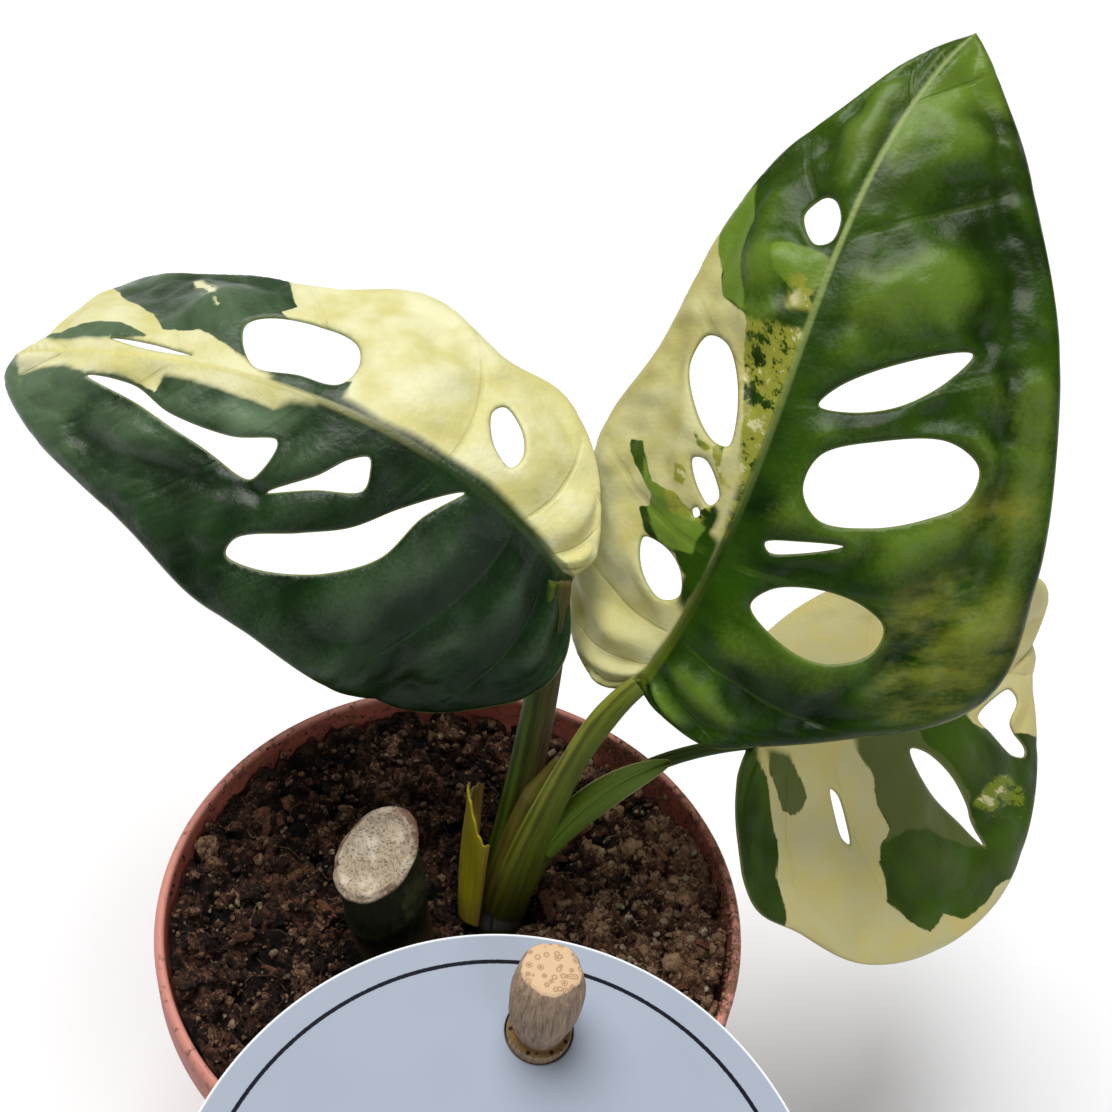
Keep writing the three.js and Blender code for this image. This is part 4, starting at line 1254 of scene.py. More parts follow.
        lines, outline = [], []
        for side in (LEFT, RIGHT):
            margin = self.fan(side, down_rows, 1.0) * (1, side)
            lines.append((margin, down_rows, np.ones(len(margin)), side))
            outline.append(margin[::side])
        axis = np.arange(0, self.length, close)
        axis_down = np.interp(
            axis / self.length, [row[0] for row in self.facts["veins"]],
            np.linspace(0, 1, len(self.facts["veins"])),
        )
        lines.append((np.column_stack([axis, 0 * axis]), axis_down, 0 * axis, 0))
        holes = []
        for side in (LEFT, RIGHT):
            grid = self.fan(side, down, out)
            for corners in self.facts["holes"][side]:
                rim = rounded_loop(corners, close)
                guess = nearest(rim, grid)[1]
                shares = self.unfan(side, rim, down[guess], out[guess])
                lines.append((rim * (1, side), *shares, side))
                holes.append(rim * (1, side))

        fixed = np.concatenate([line[0] for line in lines])
        edges, first = [], 0
        open_lines = len(lines) - len(holes)
        for k, line in enumerate(lines):
            index = first + np.arange(len(line[0]))
            edges += [(int(a), int(b)) for a, b in zip(index[:-1], index[1:])]
            if k >= open_lines:
                edges.append((int(index[-1]), int(index[0])))
            first += len(index)
        inner = []
        for side in (LEFT, RIGHT):
            points = self.fan(side, down, out) * (1, side)
            _, kept = np.unique(np.floor(points / close), axis=0, return_index=True)
            kept = kept[nearest(points[kept], fixed)[0] > 0.6 * spacing]
            inner.append((points[kept], down[kept], out[kept], side))

        rows = lines + inner
        points = np.concatenate([row[0] for row in rows])
        shares = np.concatenate([np.column_stack([row[1], row[2]]) for row in rows])
        sides = np.concatenate([np.full(len(row[0]), row[3]) for row in rows])
        made = delaunay_2d_cdt([Vector(p) for p in points.tolist()], edges, [], 0, 1e-6, True)
        source = np.array([origin[0] if origin else -1 for origin in made[3]])
        if (source < 0).any():
            raise RuntimeError("the margin, midrib or hole lines of a leaf cross")
        faces = source[np.array([face for face in made[2] if len(face) == 3])]
        middles = points[faces].mean(1)
        keep = inside(middles, np.concatenate(outline))
        for rim in holes:
            keep &= ~inside(middles, rim)
        faces = faces[keep]
        corners = points[faces]
        a, b = corners[:, 1] - corners[:, 0], corners[:, 2] - corners[:, 0]
        area = a[:, 0] * b[:, 1] - a[:, 1] * b[:, 0]
        faces = np.where(area[:, None] < 0, faces[:, ::-1], faces)[np.abs(area) > 1e-7]
        used, faces = np.unique(faces, return_inverse=True)
        rims = np.concatenate([*outline, *holes])
        edge = nearest(points[used], rims)[0]
        return points[used], shares[used], sides[used], edge, faces.reshape(-1, 3)

    def deepest(self, kind, points, sides):
        """How deep each point lies in the patches of one kind, on its own half."""
        depth = np.full(len(points), FAR_OUTSIDE)
        for side in (LEFT, RIGHT):
            own = sides != -side
            for outline in self.facts[kind].get(side, []):
                depth[own] = np.maximum(depth[own], depth_in(points[own], np.array(outline, float)))
        return depth

    def mesh(self, spacing):
        """Points, triangles and values of the closed blade: two sheets and a wall between them."""
        flat, shares, sides, edge, faces = self.triangles(spacing)
        down, out = shares.T
        plan = np.abs(flat) * (np.sign(flat[:, :1]) * (1, 0) + (0, 1))
        relief = self.relief(np.where(sides == 0, LEFT, sides), down, out, flat, edge)
        half = self.thickness / 2 * np.sqrt(1 - 0.8 * (1 - np.clip(edge / 0.6, 0, 1)) ** 2)
        across = plan[:, 1]
        ridge = np.exp(-((across / (0.9 - 0.4 * down)) ** 2))
        rib = self.rib * np.clip(1 - across / RIB_REACH, 0, 1) * (1 - 0.8 * down)
        sheets = []
        for lift in (half + 0.3 * ridge * (1 - down), -half - rib):
            places = {
                side: self.bent(side, plan[:, 0], across, relief + lift) for side in (LEFT, RIGHT)
            }
            middle = (places[LEFT] + places[RIGHT]) / 2
            beside = np.where((sides == LEFT)[:, None], places[LEFT], places[RIGHT])
            sheets.append(np.where((sides == 0)[:, None], middle, beside))
        count = len(flat)
        pairs = np.concatenate([faces[:, [0, 1]], faces[:, [1, 2]], faces[:, [2, 0]]])
        keys = pairs.min(1) * count + pairs.max(1)
        _, first, times = np.unique(keys, return_index=True, return_counts=True)
        start, end = pairs[first[times == 1]].T
        cream = self.deepest("cream", plan, sides)
        paint = np.column_stack([
            np.minimum(cream, -self.deepest("islands", plan, sides)),
            self.deepest("pale", plan, sides),
            self.deepest("mottle", plan, sides),
        ])
        fan = np.column_stack([down, out, edge])
        values = {
            "relief": np.concatenate([relief, relief]),
            "flat": np.concatenate([np.column_stack([flat, np.full(count, under)]) for under in (0, 1)]),
            "fan": np.concatenate([fan, fan]),
            "paint": np.concatenate([paint, paint]),
        }
        return np.concatenate(sheets), two_sheets(faces, start, end, count), values


# Stems. Each curve is a Bezier, with the radius at even steps from its foot to its end. The sheath
# wraps a run of the low stalk's curve, and the scale leaf a straight line beside the stem.

STALKS = {
    "stalk_left": {
        "curve": [(5.5, 3.6, 70), (7.8, 13, 85), (10, 18, 105), (10.3, 24.2, 129.2)],
        "radii": [3.4, 3.1, 2.8, 2.6, 2.3, 1.7],
        "look": {
            "left": srgb(72, 92, 14), "right": srgb(84, 74, 34), "shade": srgb(30, 36, 2),
            "foot": srgb(34, 38, 4), "scar": (0.4, 0.66, 1.0),
        },
    },
    "stalk_wings": {
        "curve": [(6.3, 4, 70), (7.8, 6.4, 80), (10.2, 9.9, 90), (13.6, 13.4, 102)],
        "radii": [3.4, 3.5, 3.5, 3.4, 3, 0.7],
        "look": {
            "left": srgb(96, 90, 30), "right": srgb(84, 90, 20), "shade": srgb(64, 58, 16),
            "foot": srgb(34, 38, 4), "scar": (0.62, 1.3, 0),
        },
    },
    "stalk_right": {
        "curve": [(7, 4.2, 70), (12.1, 7.2, 96), (15.6, 9.7, 113.5), (23.4, 14.6, 119.3)],
        "radii": [3.4, 3.1, 2.4, 1.9, 1.9, 1.6],
        "look": {
            "left": srgb(124, 130, 40), "right": srgb(84, 98, 18), "shade": srgb(54, 58, 10),
            "foot": srgb(60, 54, 14), "scar": (0.26, 0.5, -0.8),
        },
    },
    "stalk_low": {
        "curve": [(8, 4.2, 70), (12, 6, 96), (22, 11, 108), (43.2, 22.4, 100.5)],
        "radii": [2.6, 2.2, 1.6, 1.2, 1.1, 1],
        "look": {
            "left": srgb(72, 90, 14), "right": srgb(52, 70, 10), "shade": srgb(24, 34, 2),
            "foot": srgb(56, 52, 8), "scar": (0.05, 0.3, 0.5),
        },
    },
}
STEM_FOOT = [(6.2, 3.8, 60), (6.5, 4.6, 76)]
STEM_RADIUS = 5.0
# Painted shade: the stem's foot sits in deep shade between the stalks, so its look is near black.
STEM_SHADED_LOOK = {
    "left": srgb(24, 18, 8), "right": srgb(22, 18, 6), "shade": srgb(14, 10, 4),
    "foot": srgb(18, 14, 6), "scar": (2, 3, 0),
}
SHEATH_START, SHEATH_RUN = 0.29, 0.46
SCALE_LINE = [(6.4, 4.3, 73.6), (6.6, 12, 95.3)]
CANE = {"foot": (-6, -2.7, 56), "top": (-12, -0.8, 92.2), "facing": (-0.6, -0.35, 1), "radius": 6.5}
STICK = {"foot": (13.9, -22.9, 40), "end": (15.5, -22.6, 102), "radius": 4.65, "shoulder": 86.5}
CARD_REST = (0, -45, 80.6)
CARD_OFFSET = (12.9, -8.2)
CARD_TILT = 10
CLEAR = 0.3

# Pot and soil. SOIL_SIDE has the radius and height of rings from the soil's foot up, and no loose bit
# falls on the round CLEARINGS, each a place and a radius.

DRAINS = {"count": 6, "circle": 20, "radius": 3}
SOIL_SIDE = [(28.8, 1.95), (34.6, 30), (40.9, 66), (41.8, 71)]
SOIL_EDGE = 43.0
STUCK_RADIUS = 43.4
CLEARINGS = [
    (6.6, 4.7, STEM_RADIUS + 1.2),
    (-9, -1.8, CANE["radius"] + 1),
    (14.8, -22.8, STICK["radius"] + 1),
]

# Stage, in metres.

FLOOR_HALF = 4.0
SKY = (0.9, 0.95, 1.0, 1)
LAMPS = {
    "key": {"place": (-0.36, 0.42, 2.1), "size": 1.7, "tint": (1.0, 0.99, 0.97)},
    "fill": {"place": (0.45, -0.75, 0.6), "size": 0.5, "tint": (0.94, 0.97, 1.0)},
}
LAMP_AIM = (0.01, 0, 0.1)
CAMERA_PLACE = (0.009338, -0.14045, 0.291216)


def soil_height(x, y, level):
    """The packed soil's relief: two products of warped sines, flat by the stems, banked to the front."""
    lumps = np.sin(0.61 * x + 1.7 * np.sin(0.23 * y)) * np.cos(0.57 * y - 1.3 * np.sin(0.31 * x))
    lumps = lumps + 0.6 * np.sin(1.31 * x + 0.9 * y) * np.sin(1.17 * y - 0.8 * x + 1)
    feet = [(6.4, 4.4), (-8.7, -1.8), (14.7, -22.8)]
    fade = smoothstep(8, 14, np.minimum.reduce([np.hypot(px - x, py - y) for px, py in feet]))
    bank = 2.2 * smoothstep(30, 41, np.hypot(x, y)) * np.where(x < 0, 1, 0.8)
    return level + 1.3 * lumps * fade + bank * smoothstep(0, 25, 8 - y)


def crumbly(x, y, size, seed):
    """Height of packed crumbs: a ball at a random place in each cell of a grid; the highest wins.

    A ball stands up to half a cell high, plus its radius times the root of 1 less the squared distance
    over the squared radius.
    """
    cell = np.floor(np.column_stack([x, y]) / size)
    best = np.zeros(len(x))
    for shift in np.ndindex(3, 3):
        corner = np.column_stack([cell + shift - 1, np.zeros(len(x))])
        along, across, wide, lift = (hashed(corner, seed + k) for k in range(4))
        radius = size * (0.4 + 0.5 * wide)
        apart = (x - (corner[:, 0] + along) * size) ** 2 + (y - (corner[:, 1] + across) * size) ** 2
        dome = size * 0.5 * lift + radius * np.sqrt(np.maximum(0, 1 - apart / radius**2))
        best = np.maximum(best, np.where(apart < radius**2, dome, 0))
    return best


def lump_height(x, y):
    """How far crumbs of three sizes, with uneven outlines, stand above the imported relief."""
    places = np.column_stack([x, y, np.zeros(len(x))])
    pull = 0.5 * noise(places, 1.4, 15) + 0.25 * noise(places, 0.6, 16)
    push = 0.5 * noise(places, 1.4, 17) + 0.25 * noise(places, 0.6, 18)
    sizes = ((4.6, 0.36), (2.0, 0.5), (0.95, 0.55))
    lumps = sum(
        share * crumbly(x + pull, y + push, size, 40 + k) for k, (size, share) in enumerate(sizes)
    )
    return lumps - 1.9 + 0.3 * noise(places, 0.8, 19)


def soil_surface(x, y, level):
    """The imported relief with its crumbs; along the wall the soil climbs, but for one bare part."""
    bare = 0.85 * np.exp(-(((np.arctan2(y, x) - 1.25) / 0.45) ** 2))
    climb = 2.7 * smoothstep(33, 42.5, np.hypot(x, y)) * (1 - bare)
    return soil_height(x, y, level) + lump_height(x, y) + climb


# Operators


class VINE_OT_add_pot(bpy.types.Operator):
    """Add the nursery pot, turned from its profile, with drain holes in its floor."""

    bl_idname = "vine.add_pot"
    bl_label = "Add Pot"

    def execute(self, context):
        pot = context.scene.vine_pot
        height, rim, base, wall, band, step = (
            size / MM for size in (pot.height, pot.rim, pot.base, pot.wall, pot.band, pot.step)
        )
        band_foot = height - band
        wall_top = rim - step
        inner = wall_top - wall
        inner_foot = base + (wall_top - base) * 3 / band_foot - wall
        profile = [
            (0, 0.6), (base - 5, 0.6), (base - 4, 0), (base - 1, 0), (base, 1), (wall_top, band_foot),
            (rim - 0.4, band_foot + 0.6), (rim, band_foot + 1.4), (rim, height - 0.7), (rim - 0.6, height),
            (rim - wall, height), (rim - wall - 0.3, height - 0.6), (rim - wall - 0.4, band_foot + 2),
            (inner, band_foot + 0.4), (inner_foot, 3), (inner_foot - 1.2, wall + 0.6), (0, wall + 0.6),
        ]

        def wobble(at, angle):
            """Soft plastic: the mouth is a little out of round, by two waves that grow with height."""
            return 0.12 * (at / height) ** 2 * (np.sin(2 * angle + 0.6) + 0.5 * np.sin(3 * angle + 2))

        points, faces = turned(profile, 288, 0.45, wobble)
        piece = new_piece("pot_shell", points, faces, pot_finish(pot), "pot")
        turns = full_turn(DRAINS["count"])
        holes = DRAINS["circle"] * np.column_stack([np.cos(turns), np.sin(turns)])
        cut(piece, cutting_rods([((x, y, -3), (x, y, 4), DRAINS["radius"]) for x, y in holes]))
        return {"FINISHED"}


class VINE_OT_add_soil(bpy.types.Operator):
    """Add the soil that fills the pot: one closed body whose top is a fine relief."""

    bl_idname = "vine.add_soil"
    bl_label = "Add Soil"

    def execute(self, context):
        soil = context.scene.vine_soil
        angle = full_turn(480)
        radius, height = np.array(SOIL_SIDE).T
        top = np.linspace(SOIL_EDGE, 0.3, 136)
        rings = np.concatenate([radius, top])[:, None, None] * np.stack([np.cos(angle), np.sin(angle)], 1)
        x, y = rings[..., 0], rings[..., 1]
        z = soil_surface(x.ravel(), y.ravel(), soil.level / MM).reshape(x.shape)
        z[:len(height)] = height[:, None]
        points, faces = capped(np.stack([x, y, z], 2))
        lump = lump_height(points[:, 0], points[:, 1])
        new_piece("soil_ground", points, faces, soil_finish(soil), "soil", {"lump": lump})
        return {"FINISHED"}


class VINE_OT_add_litter(bpy.types.Operator):
    """Add the loose bits of the soil: clods, crumbs, grit, bark chips, root fibres and pale bits."""

    bl_idname = "vine.add_litter"
    bl_label = "Add Loose Soil"

    def scatter(self, draw, count, level, reach=42.4):
        """Random places on the soil, clear of the stems, with the soil's height at each."""
        spread = reach * np.sqrt(draw.random(2 * count))
        turn = 2 * np.pi * draw.random(2 * count)
        x, y = spread * np.cos(turn), spread * np.sin(turn)
        clear = np.all([np.hypot(x - px, y - py) > radius for px, py, radius in CLEARINGS], axis=0)
        x, y = x[clear][:count], y[clear][:count]
        return np.column_stack([x, y, soil_surface(x, y, level)])

    def lumps(self, name, draw, places, sizes, lift, levels, stretch, material):
        """Balls whose surface moves out and in by noise, each stretched and turned by its own draw.

        sizes holds the least radius and what a draw adds; lift is how far a ball is raised, as a
        share of its radius.
        """
        points, faces = ball(levels)
        count = len(places)
        least, more = sizes
        sizes = least + more * draw.random(count) ** 2
        places[:, 2] += lift * sizes
        moved = (points[None] * 1.3 + 40 * draw.random((count, 1, 3))).reshape(-1, 3)
        rough = 1 + 0.5 * noise(moved, 0.9, 51) + 0.35 * noise(moved, 0.4, 52)
        scale = sizes[:, None] * (1 + stretch * (draw.random((count, 3)) - 0.5))
        turns, _ = np.linalg.qr(draw.normal(size=(count, 3, 3)))
        turns *= np.sign(np.linalg.det(turns))[:, None, None]
        shaped = points[None] * rough.reshape(count, -1, 1) * scale[:, None]
        placed = np.einsum("nij,nkj->nki", turns, shaped) + places[:, None]
        all_faces = faces[None] + len(points) * np.arange(count)[:, None, None]
        shade = np.repeat(draw.random(count), len(points))
        new_piece(
            name, placed.reshape(-1, 3), all_faces.reshape(-1, 3), material,
            values={"shade": shade}, smooth=levels > 0,
        )

    def rim_places(self, draw, count):
        """Places on the inner wall below the lip, mostly at the right and the back, where soil clings."""
        turn = draw.normal(0.1, 0.5, count) + np.where(draw.random(count) < 0.3, 2.2, 0)
        height = 74 + 5.8 * draw.random(count) ** 1.2
        return np.column_stack([STUCK_RADIUS * np.cos(turn), STUCK_RADIUS * np.sin(turn), height])

    def execute(self, context):
        soil = context.scene.vine_soil
        level = soil.level / MM
        draw = np.random.default_rng(7)
        peat = [(0.1, soil.dark), (0.38, srgb(44, 29, 21)), (0.62, soil.brown), (0.95, soil.light)]
        peat = crumb_finish("peat crumbs", peat)
        places = self.scatter(draw, soil.clods, level)
        self.lumps("soil_clods", draw, places, (0.8, 0.9), 0, 2, 0.9, peat)
        places = self.scatter(draw, soil.crumbs, level)
        self.lumps("soil_crumbs", draw, places, (0.3, 0.55), 0.4, 1, 1.0, peat)
        places = np.concatenate([self.scatter(draw, soil.grit, level), self.rim_places(draw, soil.stuck)])
        self.lumps("soil_grit", draw, places, (0.12, 0.26), 0.6, 0, 1.0, peat)
        bark = [(0.1, srgb(36, 20, 13)), (0.55, soil.bark), (0.98, srgb(158, 106, 78))]
        self.add_chips(draw, soil.chips, level, crumb_finish("bark chips", bark, 0.8))
        straw = [(0.1, srgb(52, 36, 26)), (0.6, srgb(112, 84, 60)), (0.98, srgb(186, 160, 122))]
        self.add_fibres(draw, soil.fibres, level, crumb_finish("root fibres", straw, 0.75))
        places = self.scatter(draw, soil.pale, level)
        grouped = noise(places, 8, 21) + smoothstep(-5, 30, 0.7 * places[:, 0] + 0.5 * places[:, 1])
        places = places[grouped + 0.3 * draw.random(len(places)) > 0.45]
        lime = [(0.1, srgb(104, 82, 60)), (0.55, srgb(158, 130, 98)), (0.98, srgb(216, 202, 172))]
        lime = crumb_finish("pale bits", lime)
        self.lumps("soil_pale_bits", draw, places, (0.2, 0.45), 0.7, 1, 1.0, lime)
        return {"FINISHED"}

    def add_chips(self, draw, count, level, material):
        """Chips: flat splinters, each a ball squared off, drawn out long and laid nearly level."""
        points, faces = ball(2)
        places = self.scatter(draw, count, level)
        boxy = np.sign(points) * np.abs(points) ** 0.6
        parts = []
        for place in places:
            wide = 0.35 + 0.55 * draw.random()
            size = (wide * (1.5 + 2.5 * draw.random()), wide, 0.2 + 0.25 * wide)
            roll = Matrix.Rotation(draw.normal(0, 0.4), 3, "X")
            pitch = Matrix.Rotation(draw.normal(0, 0.35), 3, "Y")
            turn = np.array(Matrix.Rotation(2 * math.pi * draw.random(), 3, "Z") @ (roll @ pitch))
            uneven = 1 + 0.3 * noise(points * (1, 2.5, 1) + 30 * draw.random(3), 0.8, 53)[:, None]
            shade = np.full(len(points), draw.random())
            parts.append(((boxy * size * uneven) @ turn.T + place + (0, 0, 0.4), faces, {"shade": shade}))
        points, faces, values = joined(parts)
        new_piece("soil_chips", points, faces, material, values=values)

    def add_fibres(self, draw, count, level, material):
        """Fibres: thin tubes along short arcs that lie on the soil and lift a little at one end."""
        places = self.scatter(draw, count, level, 37)
        share = np.linspace(-1, 1, 14)
        parts = []
        for place in places:
            reach = 0.8 + 3 * draw.random() ** 2
            turn = 2 * math.pi * draw.random() + draw.normal(0, 0.5) * share
            heading = np.column_stack([np.cos(turn), np.sin(turn), 0 * share])
            path = heading * (reach * share)[:, None] + place
            path[:, 2] = soil_surface(path[:, 0], path[:, 1], level)
            rise = 0.2 + 0.5 * draw.random() * (share + 1)
            path[:, 2] = 0.5 * path[:, 2] + 0.5 * path[:, 2].max() + rise
            radius = (0.05 + 0.08 * draw.random()) * (1 - 0.5 * share**2)
            points, faces = capped(swept(path, radius, 5, (0.1, 0.2, 1)))
            parts.append((points, faces, {"shade": np.full(len(points), draw.random())}))
        points, faces, values = joined(parts)
        new_piece("soil_fibres", points, faces, material, values=values)


class VINE_OT_add_cane(bpy.types.Operator):
    """Add the old cane: a round stub that ends in a slanting callused cut."""

    bl_idname = "vine.add_cane"
    bl_label = "Add Old Cane"

    def execute(self, context):
        foot, top, facing = (np.array(CANE[key], float) for key in ("foot", "top", "facing"))
        axis, facing = unit(top - foot), unit(facing)
        front = unit(np.cross(axis, (0, 1, 0)))
        beside = np.cross(axis, front)
        rows, columns = 110, 96
        angle = full_turn(columns)
        across = np.cos(angle)[:, None] * front + np.sin(angle)[:, None] * beside
        to_cut = (top - foot) @ facing
        rings, cut_share = [], []
        for share in np.linspace(0, 1, rows):
            flare = 0.16 * math.sin(9 * share) + 0.35 * math.exp(-(((share - 0.72) / 0.03) ** 2))
            lip = 0.45 * smoothstep(0.955, 0.99, share)
            radius = CANE["radius"] - 0.25 + flare + lip
            height = (to_cut - radius * (across @ facing)) / (axis @ facing) * share
            place = foot + height[:, None] * axis + radius * across
            bark = 0.16 * noise(place * (1, 1, 0.4), 1.4, 31) + 0.22 * noise(place, 4, 32)
            rings.append(place + across * bark[:, None])
            cut_share.append(np.full(columns, 0.5 * smoothstep(0.965, 1, share)))
        rim = rings[-1]
        for share in np.linspace(0.97, 0.03, 34):
            place = top + (rim - top) * share
            swell = 0.4 * math.exp(-(((share - 0.86) / 0.07) ** 2)) - 0.55 * smoothstep(0.85, 0.6, share)
            bumps = 0.24 * noise(place, 1.6, 33) + 0.12 * noise(place, 0.6, 34)
            rings.append(place + (swell + bumps)[:, None] * facing)
            cut_share.append(np.full(columns, 0.5 + 0.5 * smoothstep(1.0, 0.8, share)))
        points, faces = capped(np.array(rings))
        values = {"cut": np.concatenate([*cut_share, [0, 1]])}
        material = cane_finish(context.scene.vine_stems)
        new_piece("cane_stub", points, faces, material, "cane", values)
        return {"FINISHED"}


class VINE_OT_add_stalks(bpy.types.Operator):
    """Add the stem's foot, its three leaf stalks and the wings that fill the fork of two of them."""

    bl_idname = "vine.add_stalks"
    bl_label = "Add Stem and Stalks"
    sides = 64

    def tube(self, name, rings, share, angle, look):
        """A stem's piece, closed at both ends, whose attribute stem holds the share and the angle."""
        points, faces = capped(rings)
        along, around = (grid.ravel() for grid in np.meshgrid(share, angle, indexing="ij"))
        stem = np.column_stack([along, around, 0 * along])
        values = {"stem": np.concatenate([stem, [[share[0], 0, 0], [share[-1], 0, 0]]])}
        material = stalk_finish(name.replace("_", " "), look)
        new_piece(name, points, faces, material, "shoot", values)

    def stalk(self, name, facts):
        """A stalk: rings whose radius has a channel on top, two blunt wings and fine ribs."""
        share = np.linspace(0, 1, 90)
        path, _ = bezier(facts["curve"], share)
        angle = full_turn(self.sides)
        radii = np.interp(share, np.linspace(0, 1, len(facts["radii"])), facts["radii"])[:, None]
        channel = -0.2 * np.exp(-((np.angle(np.exp(1j * angle)) / 0.5) ** 2))
        wings = 0.1 * np.exp(-(((np.abs(np.angle(np.exp(1j * angle))) - 0.95) / 0.3) ** 2))
        ribs = 0.012 * np.sin(14 * angle)
        shape = 1 + (channel + wings) * smoothstep(0.02, 0.3, share)[:, None] + ribs
        shape = shape * (1 + 0.02 * np.sin(9 * share + 1))[:, None]
        rings = swept(path, radii * shape, self.sides, (0.15, -0.5, 1))
        self.tube(name, rings, share, angle, facts["look"])

    def execute(self, context):
        for name, facts in STALKS.items():
            self.stalk(name, facts)
        share = np.linspace(0, 1, 60)
        start, end = np.array(STEM_FOOT, float)
        path = start + share[:, None] * (end - start)
        radius = STEM_RADIUS + 0.25 * np.sin(11 * share) - 2.6 * smoothstep(0.86, 1, share)
        rings = swept(path, radius, self.sides, (0, -1, 0))
        self.tube("stem_foot", rings, 0.25 * share, np.linspace(0, 2 * np.pi, self.sides), STEM_SHADED_LOOK)
        return {"FINISHED"}


def wrapped(curve, facing, radius_at, spread_at, thickness, tip_at, rows=64, columns=60):
    """A thin closed sheet wrapped round a curve: centre + radius × (cos a × middle + sin a × beside).

    a runs from -spread to spread. The curve, the radius and the spread go by the share from foot to
    tip, and tip_at gives the share at which each line from foot to tip ends.
    """
    share, side = np.meshgrid(np.linspace(0, 1, rows), np.linspace(-1, 1, columns), indexing="ij")
    share = share * tip_at(side)
    centre, ahead = curve(share)
    facing = np.asarray(facing, float)
    middle = unit(facing - (ahead @ facing)[..., None] * ahead)
    beside = np.cross(ahead, middle)
    angle = (side * np.radians(spread_at(share)))[..., None]
    sheets = []
    for lift in (thickness * (1 - 0.75 * np.abs(side) ** 6), 0):
        radius = (radius_at(share, side) + lift)[..., None]
        place = centre + radius * np.cos(angle) * middle + radius * np.sin(angle) * beside
        sheets.append(place.reshape(-1, 3))
    count = rows * columns
    index = np.arange(count).reshape(rows, columns)
    loop = np.concatenate([index[0], index[1:, -1], index[-1, -2::-1], index[-2:0:-1, 0]])
    faces = two_sheets(grid_faces(rows, columns), loop, np.roll(loop, -1), count)
    value = np.column_stack([share.ravel(), side.ravel(), np.zeros(count)])
    return np.concatenate(sheets), faces, {"wrap": np.concatenate([value, value])}


class VINE_OT_add_wraps(bpy.types.Operator):
    """Add the green sheath of the low stalk and the papery scale leaf at the foot of the shoot."""

    bl_idname = "vine.add_wraps"
    bl_label = "Add Sheath and Scale Leaf"

    def execute(self, context):
        stems = context.scene.vine_stems
        points, faces, values = wrapped(
            lambda share: bezier(STALKS["stalk_low"]["curve"], SHEATH_START + SHEATH_RUN * share),
            (0.15, -0.66, 0.75),
            lambda share, side: (
                1.95 + share * (0.7 + side**2) - 0.25 * np.exp(-(((side - 0.1) / 0.12) ** 2))
            ),
            lambda share: 92 * (1 - share) ** 0.7 * np.minimum(1, 0.5 + 1.6 * share) + 3,
            0.45,
            np.ones_like,
        )
        green = wrap_finish(
            "green sheath", srgb(70, 92, 4), srgb(100, 122, 14), srgb(166, 168, 100), srgb(84, 108, 14)
        )
        new_piece("sheath_blade", points, faces, green, "sheath_low", values)

        start, end = np.array(SCALE_LINE)
        points, faces, values = wrapped(
            lambda share: (
                start + share[..., None] * (end - start),
                np.broadcast_to(unit(end - start), (*share.shape, 3)),
            ),
            (-0.97, -0.22, 0),
            lambda share, side: (
                STEM_RADIUS + 1.5 * CLEAR + 0.9 * share + 0.25 * np.sin(4 * side + 6 * share)
            ),
            lambda share: 54 + 10 * share,
            0.4,
            lambda side: (
                1 - 0.3 * smoothstep(0.15, 0.9, side) - 0.12 * smoothstep(-0.25, -0.7, side)
                - 0.13 * np.exp(-(((side + 0.45) / 0.14) ** 2)) - 0.012 * np.sin(31 * side)
            ),
        )
        papery = wrap_finish(
            "papery scale", srgb(140, 130, 12), srgb(176, 158, 30), srgb(128, 100, 44), stems.brown
        )
        new_piece("scale_blade", points, faces, papery, "scale_leaf", values)
        return {"FINISHED"}


class VINE_OT_add_leaves(bpy.types.Operator):
    """Add the three variegated leaf blades with their holes."""

    bl_idname = "vine.add_leaves"
    bl_label = "Add Leaves"

    def execute(self, context):
        leaf = context.scene.vine_leaf
        for node, facts in BLADES.items():
            blade = Blade(facts, leaf)
            points, faces, values = blade.mesh(leaf.spacing / MM)
            material = leaf_finish(node.replace("_", " "), facts["look"])
            new_piece(node + "_blade", points, faces, material, node, values)
        return {"FINISHED"}


